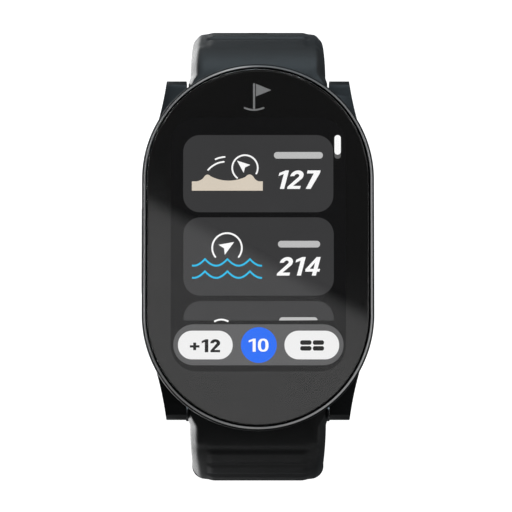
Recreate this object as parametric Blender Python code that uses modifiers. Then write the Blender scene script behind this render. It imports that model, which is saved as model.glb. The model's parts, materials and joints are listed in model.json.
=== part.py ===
"""Golf GPS watch: a pill-shaped watch head with its inner pieces, on a two-piece strap with a pin buckle.

Metres, +Z out of the face, +Y towards 12 o'clock, +X towards 3 o'clock. The watch stands face up on its
curved strap ends, and the origin is the middle of its base on the surface that it stands on.
"""

import math

import bmesh
import bpy
from mathutils import Matrix, Vector

MM = 0.001

# Driving dimensions, in millimetres. Heights inside the head are measured from the back cover's skin side.
CASE_RADIUS = 20.0
STRAIGHT_HALF = 11.7
CAVITY_RADIUS = 18.3
CAVITY_END = 22.6
NOTCH_END = 23.6
NOTCH_TOP = 6.9

GLASS_RADIUS = 19.05
GLASS_TOP = 11.9
GLASS_BOTTOM = 10.2

LUG_GAP_HALF = 12.4
LUG_TIP_X = 15.85
LUG_TIP_Y = 29.4

BAR_Y = 26.4
BAR_HEIGHT = 3.9
BAR_RADIUS = 0.9
BAR_BORE = 1.2
HUB_RADIUS = 2.4

STRAP_HEAD_HALF = 12.1
STRAP_ROOT_HALF = 11.8
STRAP_SIDE_HALF = 11.3
STRAP_TIP_HALF = 10.6
STRAP_THICK = 3.2
STRAP_THIN = 2.7
PLATEAU_HALF = 7.7
START_TILT = math.radians(12)
SHOULDER_LENGTH = 3.5
SHOULDER_RADIUS, SHOULDER_END = 11.6, math.radians(90)
SIDE_RADIUS, SIDE_END = 110.0, math.radians(112)
BOTTOM_RADIUS, BOTTOM_END = 18.0, math.radians(180)

UPPER_LENGTH = 102.3
UPPER_JOINTS = (26.9, 47.9, 68.9)
LOWER_JOINTS = (25.0, 42.5)
BEND_GAP = 0.3
SLOT_FIRST, SLOT_PITCH, SLOT_COUNT = 16.4, 7.0, 11
SLOT_WIDTH, SLOT_LENGTH = 3.5, 2.0

BUCKLE_HUB = 2.05
BUCKLE_BAR_RADIUS = 0.75
BUCKLE_SWEEP_END = math.radians(140)
BUCKLE_REACH = 14.0
BUCKLE_THICK = 2.4
BUCKLE_INNER_HALF = 11.3
BUCKLE_OUTER_HALF = 13.4
TONGUE_HALF = 1.3
TONGUE_SLOT_HALF = 1.7

KEY_HEIGHT = 4.0
KEY_OUT = 20.25
KEEPER_WIDTH = 4.6
KEEPER_WALL = 0.9
KEEPER_SLACK = 0.55
FIXED_KEEPER_AT, SLIDING_KEEPER_AT = 60.6, 55.5


# ---------------------------------------------------------------- scene, materials and helpers


def clear_scene():
    for thing in list(bpy.data.objects):
        bpy.data.objects.remove(thing, do_unlink=True)


def new_collection(name):
    made = bpy.data.collections.new(name)
    bpy.context.scene.collection.children.link(made)
    return made


def material(name, colour, roughness, metallic=0.0):
    made = bpy.data.materials.new(name)
    made.use_nodes = True
    shader = made.node_tree.nodes["Principled BSDF"]
    shader.inputs["Base Color"].default_value = (*colour, 1.0)
    shader.inputs["Roughness"].default_value = roughness
    shader.inputs["Metallic"].default_value = metallic
    return made


def add_object(name, mesh, mat=None, collection=None):
    """Links a mesh as an object in the watch's collection."""
    thing = bpy.data.objects.new(name, mesh)
    (collection or PARTS).objects.link(thing)
    if mat:
        mesh.materials.append(mat)
    return thing


def mesh_from(name, bm):
    bmesh.ops.recalc_face_normals(bm, faces=bm.faces)
    mesh = bpy.data.meshes.new(name)
    bm.to_mesh(mesh)
    bm.free()
    return mesh


def smooth(thing, angle=35):
    thing.data.shade_smooth()
    thing.data.set_sharp_from_angle(angle=math.radians(angle))
    return thing


def plate(name, outlines, low, high, mat=None, collection=None):
    """A flat piece from closed outlines in XY (millimetres), inner ones being holes, between two heights."""
    curve = bpy.data.curves.new(name, "CURVE")
    curve.dimensions = "2D"
    curve.fill_mode = "BOTH"
    curve.extrude = (high - low) / 2 * MM
    for outline in outlines:
        spline = curve.splines.new("POLY")
        spline.points.add(len(outline) - 1)
        spline.use_cyclic_u = True
        for point, (x, y) in zip(spline.points, outline):
            point.co = (x * MM, y * MM, 0, 1)
    guide = bpy.data.objects.new(name + "_outline", curve)
    bpy.context.scene.collection.objects.link(guide)
    bpy.context.view_layer.update()
    mesh = bpy.data.meshes.new_from_object(guide.evaluated_get(bpy.context.evaluated_depsgraph_get()))
    bpy.data.objects.remove(guide, do_unlink=True)
    bm = bmesh.new()
    bm.from_mesh(mesh)
    bmesh.ops.remove_doubles(bm, verts=bm.verts, dist=0.000001)
    bmesh.ops.translate(bm, verts=bm.verts, vec=(0, 0, (low + high) / 2 * MM))
    bpy.data.meshes.remove(mesh)
    return add_object(name, mesh_from(name, bm), mat, collection)


def side_plate(name, outline, left, right, mat=None, collection=None):
    """A flat piece whose outline is given in YZ, between two X positions."""
    made = plate(name, [outline], left, right, mat, collection)
    turn = Matrix(((0, 0, 1, 0), (1, 0, 0, 0), (0, 1, 0, 0), (0, 0, 0, 1)))
    made.data.transform(turn)
    return made


def box(name, low, high, mat=None, collection=None):
    bm = bmesh.new()
    bmesh.ops.create_cube(bm, size=1.0)
    size = Vector(high) - Vector(low)
    bmesh.ops.scale(bm, vec=size * MM, verts=bm.verts)
    bmesh.ops.translate(bm, vec=(Vector(low) + Vector(high)) / 2 * MM, verts=bm.verts)
    return add_object(name, mesh_from(name, bm), mat, collection)


def rod(name, start, end, radius, mat=None, sides=24, collection=None):
    """A round bar between two points."""
    start, end = Vector(start) * MM, Vector(end) * MM
    bm = bmesh.new()
    bmesh.ops.create_cone(
        bm, cap_ends=True, segments=sides, radius1=radius * MM, radius2=radius * MM, depth=(end - start).length
    )
    turn = Vector((0, 0, 1)).rotation_difference(end - start).to_matrix().to_4x4()
    bmesh.ops.transform(bm, matrix=Matrix.Translation((start + end) / 2) @ turn, verts=bm.verts)
    return add_object(name, mesh_from(name, bm), mat, collection)


def loft(name, rings, mat=None, closed=False, collection=None):
    """Joins rings of points in metres, all with the same count. Open lofts are capped at both ends."""
    bm = bmesh.new()
    rows = [[bm.verts.new(point) for point in ring] for ring in rings]
    count = len(rows[0])
    pairs = list(zip(rows, rows[1:]))
    if closed:
        pairs.append((rows[-1], rows[0]))
    for here, there in pairs:
        for i in range(count):
            j = (i + 1) % count
            bm.faces.new((here[i], here[j], there[j], there[i]))
    if not closed:
        bm.faces.new(rows[0])
        bm.faces.new(reversed(rows[-1]))
    return add_object(name, mesh_from(name, bm), mat, collection)


def apply_modifiers(thing):
    """Replaces the object's mesh with its evaluated mesh."""
    bpy.context.view_layer.update()
    done = bpy.data.meshes.new_from_object(thing.evaluated_get(bpy.context.evaluated_depsgraph_get()))
    thing.modifiers.clear()
    thing.data = done


def boolean(thing, others, operation):
    """Cuts or joins with the EXACT solver, then removes the tools used."""
    for other in others:
        step = thing.modifiers.new(other.name, "BOOLEAN")
        step.operation = operation
        step.solver = "EXACT"
        step.object = other
    apply_modifiers(thing)
    for other in others:
        bpy.data.objects.remove(other, do_unlink=True)
    return thing


def cut(thing, *others):
    return boolean(thing, others, "DIFFERENCE")


def join(thing, *others):
    return boolean(thing, others, "UNION")


def bevel(thing, width, segments=2, angle=40):
    step = thing.modifiers.new("edges", "BEVEL")
    step.width = width * MM
    step.segments = segments
    step.limit_method = "ANGLE"
    step.angle_limit = math.radians(angle)
    apply_modifiers(thing)
    return thing


def lift(*things):
    """Raises head pieces from their own zero, the back cover's skin side, to their height over the base."""
    for thing in things:
        thing.data.transform(Matrix.Translation((0, 0, BACK_Z * MM)))


# ---------------------------------------------------------------- outlines


def pill(radius, y_end=None, steps=12):
    """The case's outline at a given end radius, in millimetres. y_end cuts both round ends off flat."""
    sweep = math.pi / 2
    if y_end is not None:
        sweep = math.asin((y_end - STRAIGHT_HALF) / radius)
    points = []
    for x_side, y_side in ((1, 1), (-1, 1), (-1, -1), (1, -1)):
        quarter = []
        for i in range(steps + 1):
            turn = sweep * i / steps
            quarter.append((x_side * radius * math.cos(turn), y_side * (STRAIGHT_HALF + radius * math.sin(turn))))
        if x_side * y_side < 0:
            quarter.reverse()
        points += [p for p in quarter if not points or math.dist(p, points[-1]) > 0.001]
    if math.dist(points[0], points[-1]) < 0.001:
        points.pop()
    return points


def pill_rings(profile, steps=12):
    """Rings for loft from a profile of (end radius, height) corners."""
    return [[Vector((x, y, z)) * MM for x, y in pill(radius, None, steps)] for radius, z in profile]


def circle(x, y, radius, count=20):
    turns = [2 * math.pi * i / count for i in range(count)]
    return [(x + radius * math.cos(t), y + radius * math.sin(t)) for t in turns]


def rounded_box(x0, y0, x1, y1, radius, steps=4):
    """A rectangle with round corners."""
    corners = ((x1 - radius, y1 - radius, 0), (x0 + radius, y1 - radius, 1))
    corners += ((x0 + radius, y0 + radius, 2), (x1 - radius, y0 + radius, 3))
    points = []
    for cx, cy, quarter in corners:
        for i in range(steps + 1):
            turn = math.pi / 2 * (quarter + i / steps)
            points.append((cx + radius * math.cos(turn), cy + radius * math.sin(turn)))
    return points


def curve_points(start, control, end, steps=6):
    """Points on a quadratic curve, without its first point."""
    found = []
    for i in range(1, steps + 1):
        t = i / steps
        x = (1 - t) ** 2 * start[0] + 2 * t * (1 - t) * control[0] + t * t * end[0]
        y = (1 - t) ** 2 * start[1] + 2 * t * (1 - t) * control[1] + t * t * end[1]
        found.append((x, y))
    return found


def ribbon(route, thickness):
    """The outline of a strip that follows a route of straight runs, seen from the side."""
    left, right = [], []
    for i, here in enumerate(route):
        before = route[max(i - 1, 0)]
        after = route[min(i + 1, len(route) - 1)]
        first = Vector(here) - Vector(before) if i else Vector(after) - Vector(here)
        last = Vector(after) - Vector(here) if i < len(route) - 1 else first
        first, last = first.normalized(), last.normalized()
        middle = Vector((-(first.y + last.y), first.x + last.x)).normalized()
        reach = thickness / 2 / max(middle.dot(Vector((-first.y, first.x))), 0.5)
        left.append(tuple(Vector(here) + middle * reach))
        right.append(tuple(Vector(here) - middle * reach))
    return left + right[::-1]


# ---------------------------------------------------------------- the strap's path


def path_runs():
    """The strap's outer line from the spring bar to the base, as (length, curvature) runs."""
    return (
        (SHOULDER_LENGTH, 0.0),
        (SHOULDER_RADIUS * (SHOULDER_END - START_TILT), 1 / SHOULDER_RADIUS),
        (SIDE_RADIUS * (SIDE_END - SHOULDER_END), 1 / SIDE_RADIUS),
        (BOTTOM_RADIUS * (BOTTOM_END - SIDE_END), 1 / BOTTOM_RADIUS),
        (1000.0, 0.0),
    )


def path_at(along):
    """(y, z, tilt) on the outer line at a length from the spring bar; z is from the spring bar's top."""
    y = BAR_Y + HUB_RADIUS * math.sin(START_TILT)
    z = HUB_RADIUS * math.cos(START_TILT)
    tilt = START_TILT
    for length, curvature in path_runs():
        step = min(along, length) if along > 0 else along
        if curvature:
            turned = tilt + step * curvature
            y += (math.sin(turned) - math.sin(tilt)) / curvature
            z += (math.cos(turned) - math.cos(tilt)) / curvature
            tilt = turned
        else:
            y += step * math.cos(tilt)
            z -= step * math.sin(tilt)
        along -= step
        if along <= 0:
            break
    return y, z, tilt


def run_ends():
    """The lengths along the outer line at which the side and the bottom bend end."""
    lengths = [run[0] for run in path_runs()]
    return sum(lengths[:3]), sum(lengths[:4])


BAR_Z = -path_at(run_ends()[1])[1]
BACK_Z = BAR_Z - BAR_HEIGHT


def strap_frame(side, along):
    """Point, direction along the strap and outward direction, in millimetres. side is 1 at 12 o'clock."""
    y, z, tilt = path_at(along)
    point = Vector((0, side * y, z + BAR_Z))
    ahead = Vector((0, side * math.cos(tilt), -math.sin(tilt)))
    outward = Vector((0, side * math.sin(tilt), math.cos(tilt)))
    return point, ahead, outward


def lower_length():
    """Length of the buckle-side strap up to the line of its buckle bar."""
    return run_ends()[0] + BOTTOM_RADIUS * (BUCKLE_SWEEP_END - SIDE_END)


def ease(value):
    value = min(max(value, 0.0), 1.0)
    return value * value * (3 - 2 * value)


def strap_size(along, length, tail):
    """Half width, depth of the outer face below the outer line, and depth of the inner face."""
    taper = min(max(along / length, 0), 1)
    half = STRAP_ROOT_HALF + (STRAP_SIDE_HALF - STRAP_ROOT_HALF) * ease((along - 3.0) / 17.0)
    half += (STRAP_TIP_HALF - STRAP_SIDE_HALF) * max((along - 20.0) / (length - 20.0), 0.0)
    half += (STRAP_HEAD_HALF - half) * (1 - ease((along - 2.6) / 1.6))
    inner = STRAP_THICK + (STRAP_THIN - STRAP_THICK) * taper
    inner += (2 * HUB_RADIUS - inner) * (1 - ease(along / 7.0))
    outer = 0.0
    if along < 0:
        rise = math.sqrt(max(HUB_RADIUS**2 - along**2, 0))
        outer, inner = HUB_RADIUS - rise, HUB_RADIUS + rise
    if tail:
        tip = 9.0
        past = max(along - (length - tip), 0) / tip
        half *= max(1 - past**2.6, 0.0) ** (1 / 2.6)
    else:
        inner += (2 * BUCKLE_HUB - inner) * ease((along - length + 8.0) / 8.0)
        if along > length:
            rise = math.sqrt(max(BUCKLE_HUB**2 - (along - length) ** 2, 0))
            outer, inner = BUCKLE_HUB - rise, BUCKLE_HUB + rise
    return half, outer, inner


def strap_ring(side, along, length, tail):
    """One cross-section of the strap: a flat plateau outside, sloping to bevelled edges."""
    half, outer, inner = strap_size(along, length, tail)
    point, _, outward = strap_frame(side, along)
    depth = inner - outer
    plateau = min(PLATEAU_HALF, half * 0.72)
    edge = min(1.3, half * 0.2, depth * 0.4)
    corners = (
        (plateau, outer),
        (half - edge, outer + 0.1 * depth),
        (half, outer + 0.54 * depth),
        (half, inner - 0.16 * depth),
        (half - 0.5 * edge, inner),
    )
    ring = [(x, w) for x, w in corners] + [(-x, w) for x, w in reversed(corners)]
    return [(point + Vector((x, 0, 0)) - outward * w) * MM for x, w in ring]


def strap_piece(name, side, start, end, length, tail, mat):
    """A stretch of strap between two lengths, lofted through cross-sections about 2 mm apart."""
    marks = {start, end}
    hub_steps = (-0.97, -0.85, -0.6, -0.3)
    if start < 0:
        marks.discard(start)
        marks |= {HUB_RADIUS * s for s in hub_steps}
        marks |= {0.0, 2.6, 3.4, 4.2}
    if end > length and not tail:
        marks.discard(end)
        marks |= {length - BUCKLE_HUB * s for s in hub_steps}
        marks.add(length)
    first = max(start, 0.0)
    last = min(end, length)
    spacing = 2.4
    count = max(2, round((last - first) / spacing))
    marks |= {first + (last - first) * i / count for i in range(count + 1)}
    if tail and end >= length:
        marks.discard(end)
        marks |= {length - reach for reach in (3.6, 1.8, 0.9, 0.35, 0.1)}
        marks.discard(length)
    ordered = []
    for mark in sorted(marks):
        if not ordered or mark - ordered[-1] > 0.12:
            ordered.append(mark)
    rings = [strap_ring(side, along, length, tail) for along in ordered]
    return loft(name, rings, mat)


def place_on_strap(thing, side, along, depth=0.0):
    """Moves a piece made round its own origin, X across and Y along the strap, Z outward, onto the strap."""
    point, ahead, outward = strap_frame(side, along)
    across = ahead.cross(outward)
    turn = Matrix((across, ahead, outward)).transposed().to_4x4()
    thing.data.transform(Matrix.Translation((point - outward * depth) * MM) @ turn)
    return thing


# ---------------------------------------------------------------- the watch head


def make_lug(x_side, y_side):
    """One lug: its plan outline, flaring into the case, met by its side outline."""
    merge = (18.85, 17.4)
    outline = [(LUG_GAP_HALF, 19.0), (15.5, 14.0), merge]
    outline += curve_points(merge, (16.75, 22.8), (LUG_TIP_X, LUG_TIP_Y), 8)
    outline.append((LUG_GAP_HALF, LUG_TIP_Y))
    side = [(14.0, 1.9), (22.0, 1.7), (28.5, 1.2), (LUG_TIP_Y, 2.1), (LUG_TIP_Y, 5.7), (28.7, 6.4), (22.0, 7.6)]
    side.append((14.0, 7.6))
    flip = [(x_side * x, y_side * y) for x, y in outline]
    lug = plate("lug", [flip], 0.0, 9.0, collection=CUTTERS)
    profile = side_plate("lug_side", [(y_side * y, z) for y, z in side], -20.0, 20.0, collection=CUTTERS)
    boolean(lug, [profile], "INTERSECT")
    return lug


def make_mid_case(mat):
    """Case body: outer shell, cavity, notches for the strap heads, lugs, screw bosses and the key's pocket."""
    outer = [(19.1, 1.7), (19.7, 2.5), (19.7, 8.6), (19.4, 9.0)]
    case = loft("mid_case", pill_rings(outer), mat)
    for y_side in (1, -1):
        low_y, high_y = sorted((y_side * NOTCH_END, y_side * 40.0))
        cut(case, box("notch", (-LUG_GAP_HALF, low_y, 0), (LUG_GAP_HALF, high_y, NOTCH_TOP), None, CUTTERS))
    join(case, *[make_lug(x_side, y_side) for x_side in (1, -1) for y_side in (1, -1)])
    low = plate("low_cavity", [pill(CAVITY_RADIUS, CAVITY_END, 10)], 0.0, 7.9, None, CUTTERS)
    cut(case, low)
    high = plate("high_cavity", [pill(CAVITY_RADIUS, None, 10)], 7.7, 12.0, None, CUTTERS)
    cut(case, high)
    bosses = [rod("boss", (x, y, 2.7), (x, y, 5.1), 2.0, None, 20, CUTTERS) for x, y in screw_places()]
    join(case, *bosses)
    holes = [rod("hole", (x, y, 1.0), (x, y, 4.4), 1.0, None, 16, CUTTERS) for x, y in screw_places()]
    cut(case, *holes)
    pin_holes = []
    for y_side in (1, -1):
        y = y_side * BAR_Y
        pin_holes.append(rod("pin_hole", (11, y, BAR_HEIGHT), (14.2, y, BAR_HEIGHT), 0.85, None, 16, CUTTERS))
        pin_holes.append(rod("pin_hole", (-14.2, y, BAR_HEIGHT), (-11, y, BAR_HEIGHT), 0.85, None, 16, CUTTERS))
    cut(case, *pin_holes)
    pocket = side_plate("pocket", rounded_box(-8.05, KEY_HEIGHT - 1.6, 8.05, KEY_HEIGHT + 1.6, 1.5), -25, -18.85)
    stem = side_plate("stem_hole", rounded_box(-3.0, KEY_HEIGHT - 0.9, 3.0, KEY_HEIGHT + 0.9, 0.6), -25, -17)
    cut(case, pocket, stem)
    return smooth(case)


def screw_places():
    return [(x * 15.2, y * 17.9) for x in (1, -1) for y in (1, -1)]


def make_bezel(mat):
    """Bright ring round the glass: a rim with a chamfered top on a ledge that carries the gasket."""
    profile = [
        (CASE_RADIUS - 0.25, 9.3),
        (CASE_RADIUS, 9.55),
        (CASE_RADIUS, 11.05),
        (CASE_RADIUS - 0.08, 11.2),
        (CASE_RADIUS - 0.26, 11.28),
        (CASE_RADIUS - 0.58, 11.6),
        (CASE_RADIUS - 0.65, 11.6),
        (CASE_RADIUS - 0.65, 9.7),
        (17.6, 9.7),
        (17.6, 9.3),
    ]
    rings = pill_rings(profile, 14)
    return smooth(loft("bezel_ring", rings, mat, closed=True), 30)


def make_glass(mat):
    """Cover glass with a narrow rounded upper edge."""
    edge = 0.15
    centre = (GLASS_RADIUS - edge, GLASS_TOP - edge)
    profile = [(GLASS_RADIUS - 0.1, GLASS_BOTTOM), (GLASS_RADIUS, GLASS_BOTTOM + 0.1)]
    round_steps = 3
    for i in range(round_steps + 1):
        turn = math.pi / 2 * i / round_steps
        profile.append((centre[0] + edge * math.cos(turn), centre[1] + edge * math.sin(turn)))
    return smooth(loft("cover_glass", pill_rings(profile, 14), mat), 30)


def make_gasket(mat):
    """Narrow ring that the glass sits on, laid on the bezel's ledge."""
    return plate("glass_gasket", [pill(18.8, None, 12), pill(17.9, None, 12)], 9.85, 10.05, mat)


def make_display(display_mat, frame_mat, flex_mat):
    """Display panel, the frame plate under it and the ribbon that runs down to the board."""
    panel = plate("display_panel", [rounded_box(-15.9, -23.0, 15.9, 23.0, 6.0)], 8.9, 9.9, display_mat)
    outline = pill(18.0, 21.4, 10)
    window = rounded_box(-8.0, -9.0, 8.0, 9.0, 2.0)
    frame = plate("display_frame", [outline, window], 8.0, 8.6, frame_mat)
    route = [(-19.0, 6.55), (-22.2, 6.55), (-22.2, 8.35), (-23.6, 8.35), (-23.6, 9.6)]
    flex = side_plate("display_flex", ribbon(route, 0.2), -5.0, 5.0, flex_mat)
    return panel, frame, flex


def make_electronics(board_mat, chip_mat, steel_mat, ceramic_mat, battery_mat, lead_mat):
    """Board with its chip and shield, antenna, battery with its lead, and the vibration motor."""
    board_outline = [(-12.8, -21.6), (12.8, -21.6), (12.8, -15.0), (16.6, -12.0), (16.6, 11.0), (-16.6, 11.0)]
    board_outline += [(-16.6, -12.0), (-12.8, -15.0)]
    board = plate("main_pcb", [board_outline], 5.4, 6.1, board_mat)
    chip = box("processor", (-7.0, -11.0, 6.4), (1.0, -3.0, 7.0), chip_mat)
    can = box("shield_can", (-9.0, -13.0, 6.4), (3.0, -1.0, 7.7), steel_mat)
    inside = box("can_inside", (-8.7, -12.7, 6.0), (2.7, -1.3, 7.4), None, CUTTERS)
    cut(can, inside)
    antenna = plate("gps_antenna", [rounded_box(1.0, 11.8, 12.0, 22.0, 0.8, 2)], 3.6, 7.4, ceramic_mat)
    battery = plate("battery", [rounded_box(-11.0, -19.5, 13.0, 10.5, 1.5, 3)], 1.8, 5.0, battery_mat)
    bevel(battery, 0.5, 1)
    lead_route = [(10.8, 3.4), (11.4, 3.4), (11.4, 6.6), (9.0, 6.6)]
    lead = side_plate("battery_lead", ribbon(lead_route, 0.2), -3.5, 0.5, lead_mat)
    motor = rod("vibration_motor", (-7.0, 16.4, 1.9), (-7.0, 16.4, 4.7), 4.2, steel_mat, 32)
    return board, chip, can, antenna, battery, lead, motor


def make_back(cover_mat, seal_mat, steel_mat, gold_mat):
    """Back cover with its seal, four screws and four charging contacts."""
    contacts = [(x, -13.0) for x in (-3.9, -1.3, 1.3, 3.9)]
    screw_holes = [circle(x, y, 1.0, 16) for x, y in screw_places()]
    contact_holes = [circle(x, y, 0.95, 16) for x, y in contacts]
    cover = plate("back_cover", [pill(18.9, 23.2, 10)] + screw_holes + contact_holes, 0.0, 1.4, cover_mat)
    sinks = [rod("sink", (x, y, -1.0), (x, y, 0.75), 1.65, None, 20, CUTTERS) for x, y in screw_places()]
    cut(cover, *sinks)
    outer = pill(18.0, 22.3, 10)
    inner = pill(17.45, 21.75, 10)
    seal_band = plate("back_cover_seal", [outer, inner], 1.7, 2.4, seal_mat)
    screws = []
    for i, (x, y) in enumerate(screw_places(), 1):
        screw = rod(f"back_cover_screw_{i}", (x, y, 0.1), (x, y, 0.45), 1.35, steel_mat, 20)
        join(screw, rod("shank", (x, y, 0.3), (x, y, 4.0), 0.7, None, 16, CUTTERS))
        cut(screw, box("drive", (x - 1.0, y - 0.15, 0), (x + 1.0, y + 0.15, 0.25), None, CUTTERS))
        screws.append(screw)
    pins = []
    for i, (x, y) in enumerate(contacts, 1):
        pins.append(rod(f"charging_contact_{i}", (x, y, 0.1), (x, y, 1.65), 0.65, gold_mat, 16))
    return [cover, seal_band] + screws + pins


def make_side_key(key_mat, seal_mat, clip_mat, switch_mat):
    """Long push key with its stem, the seal and clip round the stem, and the switch that it presses."""
    low, high = KEY_HEIGHT - 1.3, KEY_HEIGHT + 1.3
    key = side_plate("side_key", rounded_box(-7.75, low, 7.75, high, 1.25), -KEY_OUT, -19.4, key_mat)
    bevel(key, 0.25, 2, 60)
    stem_outline = rounded_box(-2.7, KEY_HEIGHT - 0.6, 2.7, KEY_HEIGHT + 0.6, 0.3, 2)
    join(key, side_plate("stem", stem_outline, -19.6, -16.5, None, CUTTERS))
    seal_rings = rounded_box(-4.2, KEY_HEIGHT - 1.0, 4.2, KEY_HEIGHT + 1.05, 0.7, 3)
    seal = side_plate("side_key_seal", seal_rings, -18.0, -17.6, seal_mat)
    cut(seal, side_plate("way", rounded_box(-3.0, KEY_HEIGHT - 0.85, 3.0, KEY_HEIGHT + 0.9, 0.4, 2), -19, -17))
    clip = side_plate("side_key_clip", rounded_box(-3.8, KEY_HEIGHT - 1.0, 3.8, KEY_HEIGHT + 1.05, 0.3, 2), -17.3, -16.9)
    clip.data.materials.append(clip_mat)
    cut(clip, side_plate("way", rounded_box(-3.0, KEY_HEIGHT - 0.85, 3.0, KEY_HEIGHT + 0.9, 0.4, 2), -19, -16))
    switch = box("side_key_switch", (-15.4, -2.6, 2.9), (-13.3, 2.6, 5.0), switch_mat)
    join(switch, box("plunger", (-16.0, -0.9, 3.4), (-15.3, 0.9, 4.6), None, CUTTERS))
    return key, seal, clip, switch


# ---------------------------------------------------------------- the strap and its fittings


def make_spring_bar(side, word, steel_mat):
    """Quick-release bar: a tube with one fixed tip, and the sliding pin whose knob sticks out inwards."""
    y, z = side * BAR_Y, BAR_Z
    bar = rod(word + "_spring_bar", (-11.6, y, z), (11.0, y, z), BAR_RADIUS, steel_mat, 20)
    join(bar, rod("tip", (-13.5, y, z), (-11.0, y, z), 0.55, None, 16, CUTTERS))
    cut(bar, rod("bore", (5.0, y, z), (12.0, y, z), 0.65, None, 16, CUTTERS))
    cut(bar, box("knob_way", (6.5, y - 0.6, z - 2.0), (12.0, y + 0.6, z), None, CUTTERS))
    pin = rod(word + "_release_pin", (6.9, y, z), (13.5, y, z), 0.32, steel_mat, 12)
    join(pin, rod("pin_end", (11.5, y, z), (13.55, y, z), 0.55, None, 16, CUTTERS))
    join(pin, rod("knob", (9.2, y, z), (9.2, y, z - 2.0), 0.3, None, 12, CUTTERS))
    join(pin, rod("knob_head", (9.2, y, z - 1.6), (9.2, y, z - 2.2), 0.6, None, 12, CUTTERS))
    return bar, pin


def bore_head(piece, side):
    """Cuts the spring bar's bore and the slot for its knob through the strap's head."""
    y, z = side * BAR_Y, BAR_Z
    cut(piece, rod("bar_bore", (-20, y, z), (20, y, z), BAR_BORE, None, 20, CUTTERS))
    cut(piece, box("knob_slot", (7.2, y - 0.95, z - 5.0), (10.8, y + 0.95, z), None, CUTTERS))


def slot_cutter(along):
    """A through slot with round ends across the strap."""
    half, end = SLOT_WIDTH / 2, SLOT_LENGTH / 2
    outline = rounded_box(-half, -end, half, end, end * 0.98, 5)
    cutter = plate("slot", [outline], -6.0, 3.0, None, CUTTERS)
    return place_on_strap(cutter, 1, along)


def make_upper_strap(mat):
    """The 12 o'clock strap in four stretches, with its adjustment slots."""
    names = ("upper_strap_root", "upper_strap_mid", "upper_strap_bend", "upper_strap_tail")
    starts = (-HUB_RADIUS,) + tuple(at + BEND_GAP / 2 for at in UPPER_JOINTS)
    ends = tuple(at - BEND_GAP / 2 for at in UPPER_JOINTS) + (UPPER_LENGTH,)
    slots = [SLOT_FIRST + SLOT_PITCH * i for i in range(SLOT_COUNT)]
    made = []
    for name, start, end in zip(names, starts, ends):
        piece = strap_piece(name, 1, start, end, UPPER_LENGTH, True, mat)
        cut(piece, *[slot_cutter(at) for at in slots if start < at < end])
        made.append(piece)
    bore_head(made[0], 1)
    return made


def make_lower_strap(mat):
    """The 6 o'clock strap in three stretches, with the fold that holds the buckle bar at its end."""
    length = lower_length()
    names = ("lower_strap_root", "lower_strap_mid", "lower_strap_end")
    starts = (-HUB_RADIUS,) + tuple(at + BEND_GAP / 2 for at in LOWER_JOINTS)
    ends = tuple(at - BEND_GAP / 2 for at in LOWER_JOINTS) + (length + BUCKLE_HUB,)
    made = [strap_piece(n, -1, a, b, length, False, mat) for n, a, b in zip(names, starts, ends)]
    bore_head(made[0], -1)
    y, z = buckle_axis()
    cut(made[2], rod("buckle_bore", (-20, y, z), (20, y, z), BUCKLE_BAR_RADIUS + 0.3, None, 20, CUTTERS))
    slot = box("tongue_slot", (-TONGUE_SLOT_HALF, -4.3, -8), (TONGUE_SLOT_HALF, 8, 8), None, CUTTERS)
    cut(made[2], place_on_strap(slot, -1, length, BUCKLE_HUB))
    return made


def buckle_axis():
    """(y, z) of the buckle bar."""
    point, _, outward = strap_frame(-1, lower_length())
    centre = point - outward * BUCKLE_HUB
    return centre.y, centre.z


def buckle_tilt():
    """How far the buckle frame slopes down from its bar, so that its front edge meets the base."""
    drop = buckle_axis()[1] - 0.04
    half = BUCKLE_THICK / 2
    return math.asin(drop / math.hypot(BUCKLE_REACH, half)) - math.atan2(half, BUCKLE_REACH)


def set_on_buckle_axis(thing):
    """Gives a piece made round the bar, Y forward and Z inward, its place, slope and origin on the bar."""
    y, z = buckle_axis()
    thing.location = (0, y * MM, z * MM)
    thing.rotation_euler = (-buckle_tilt(), 0, 0)
    return thing


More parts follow.
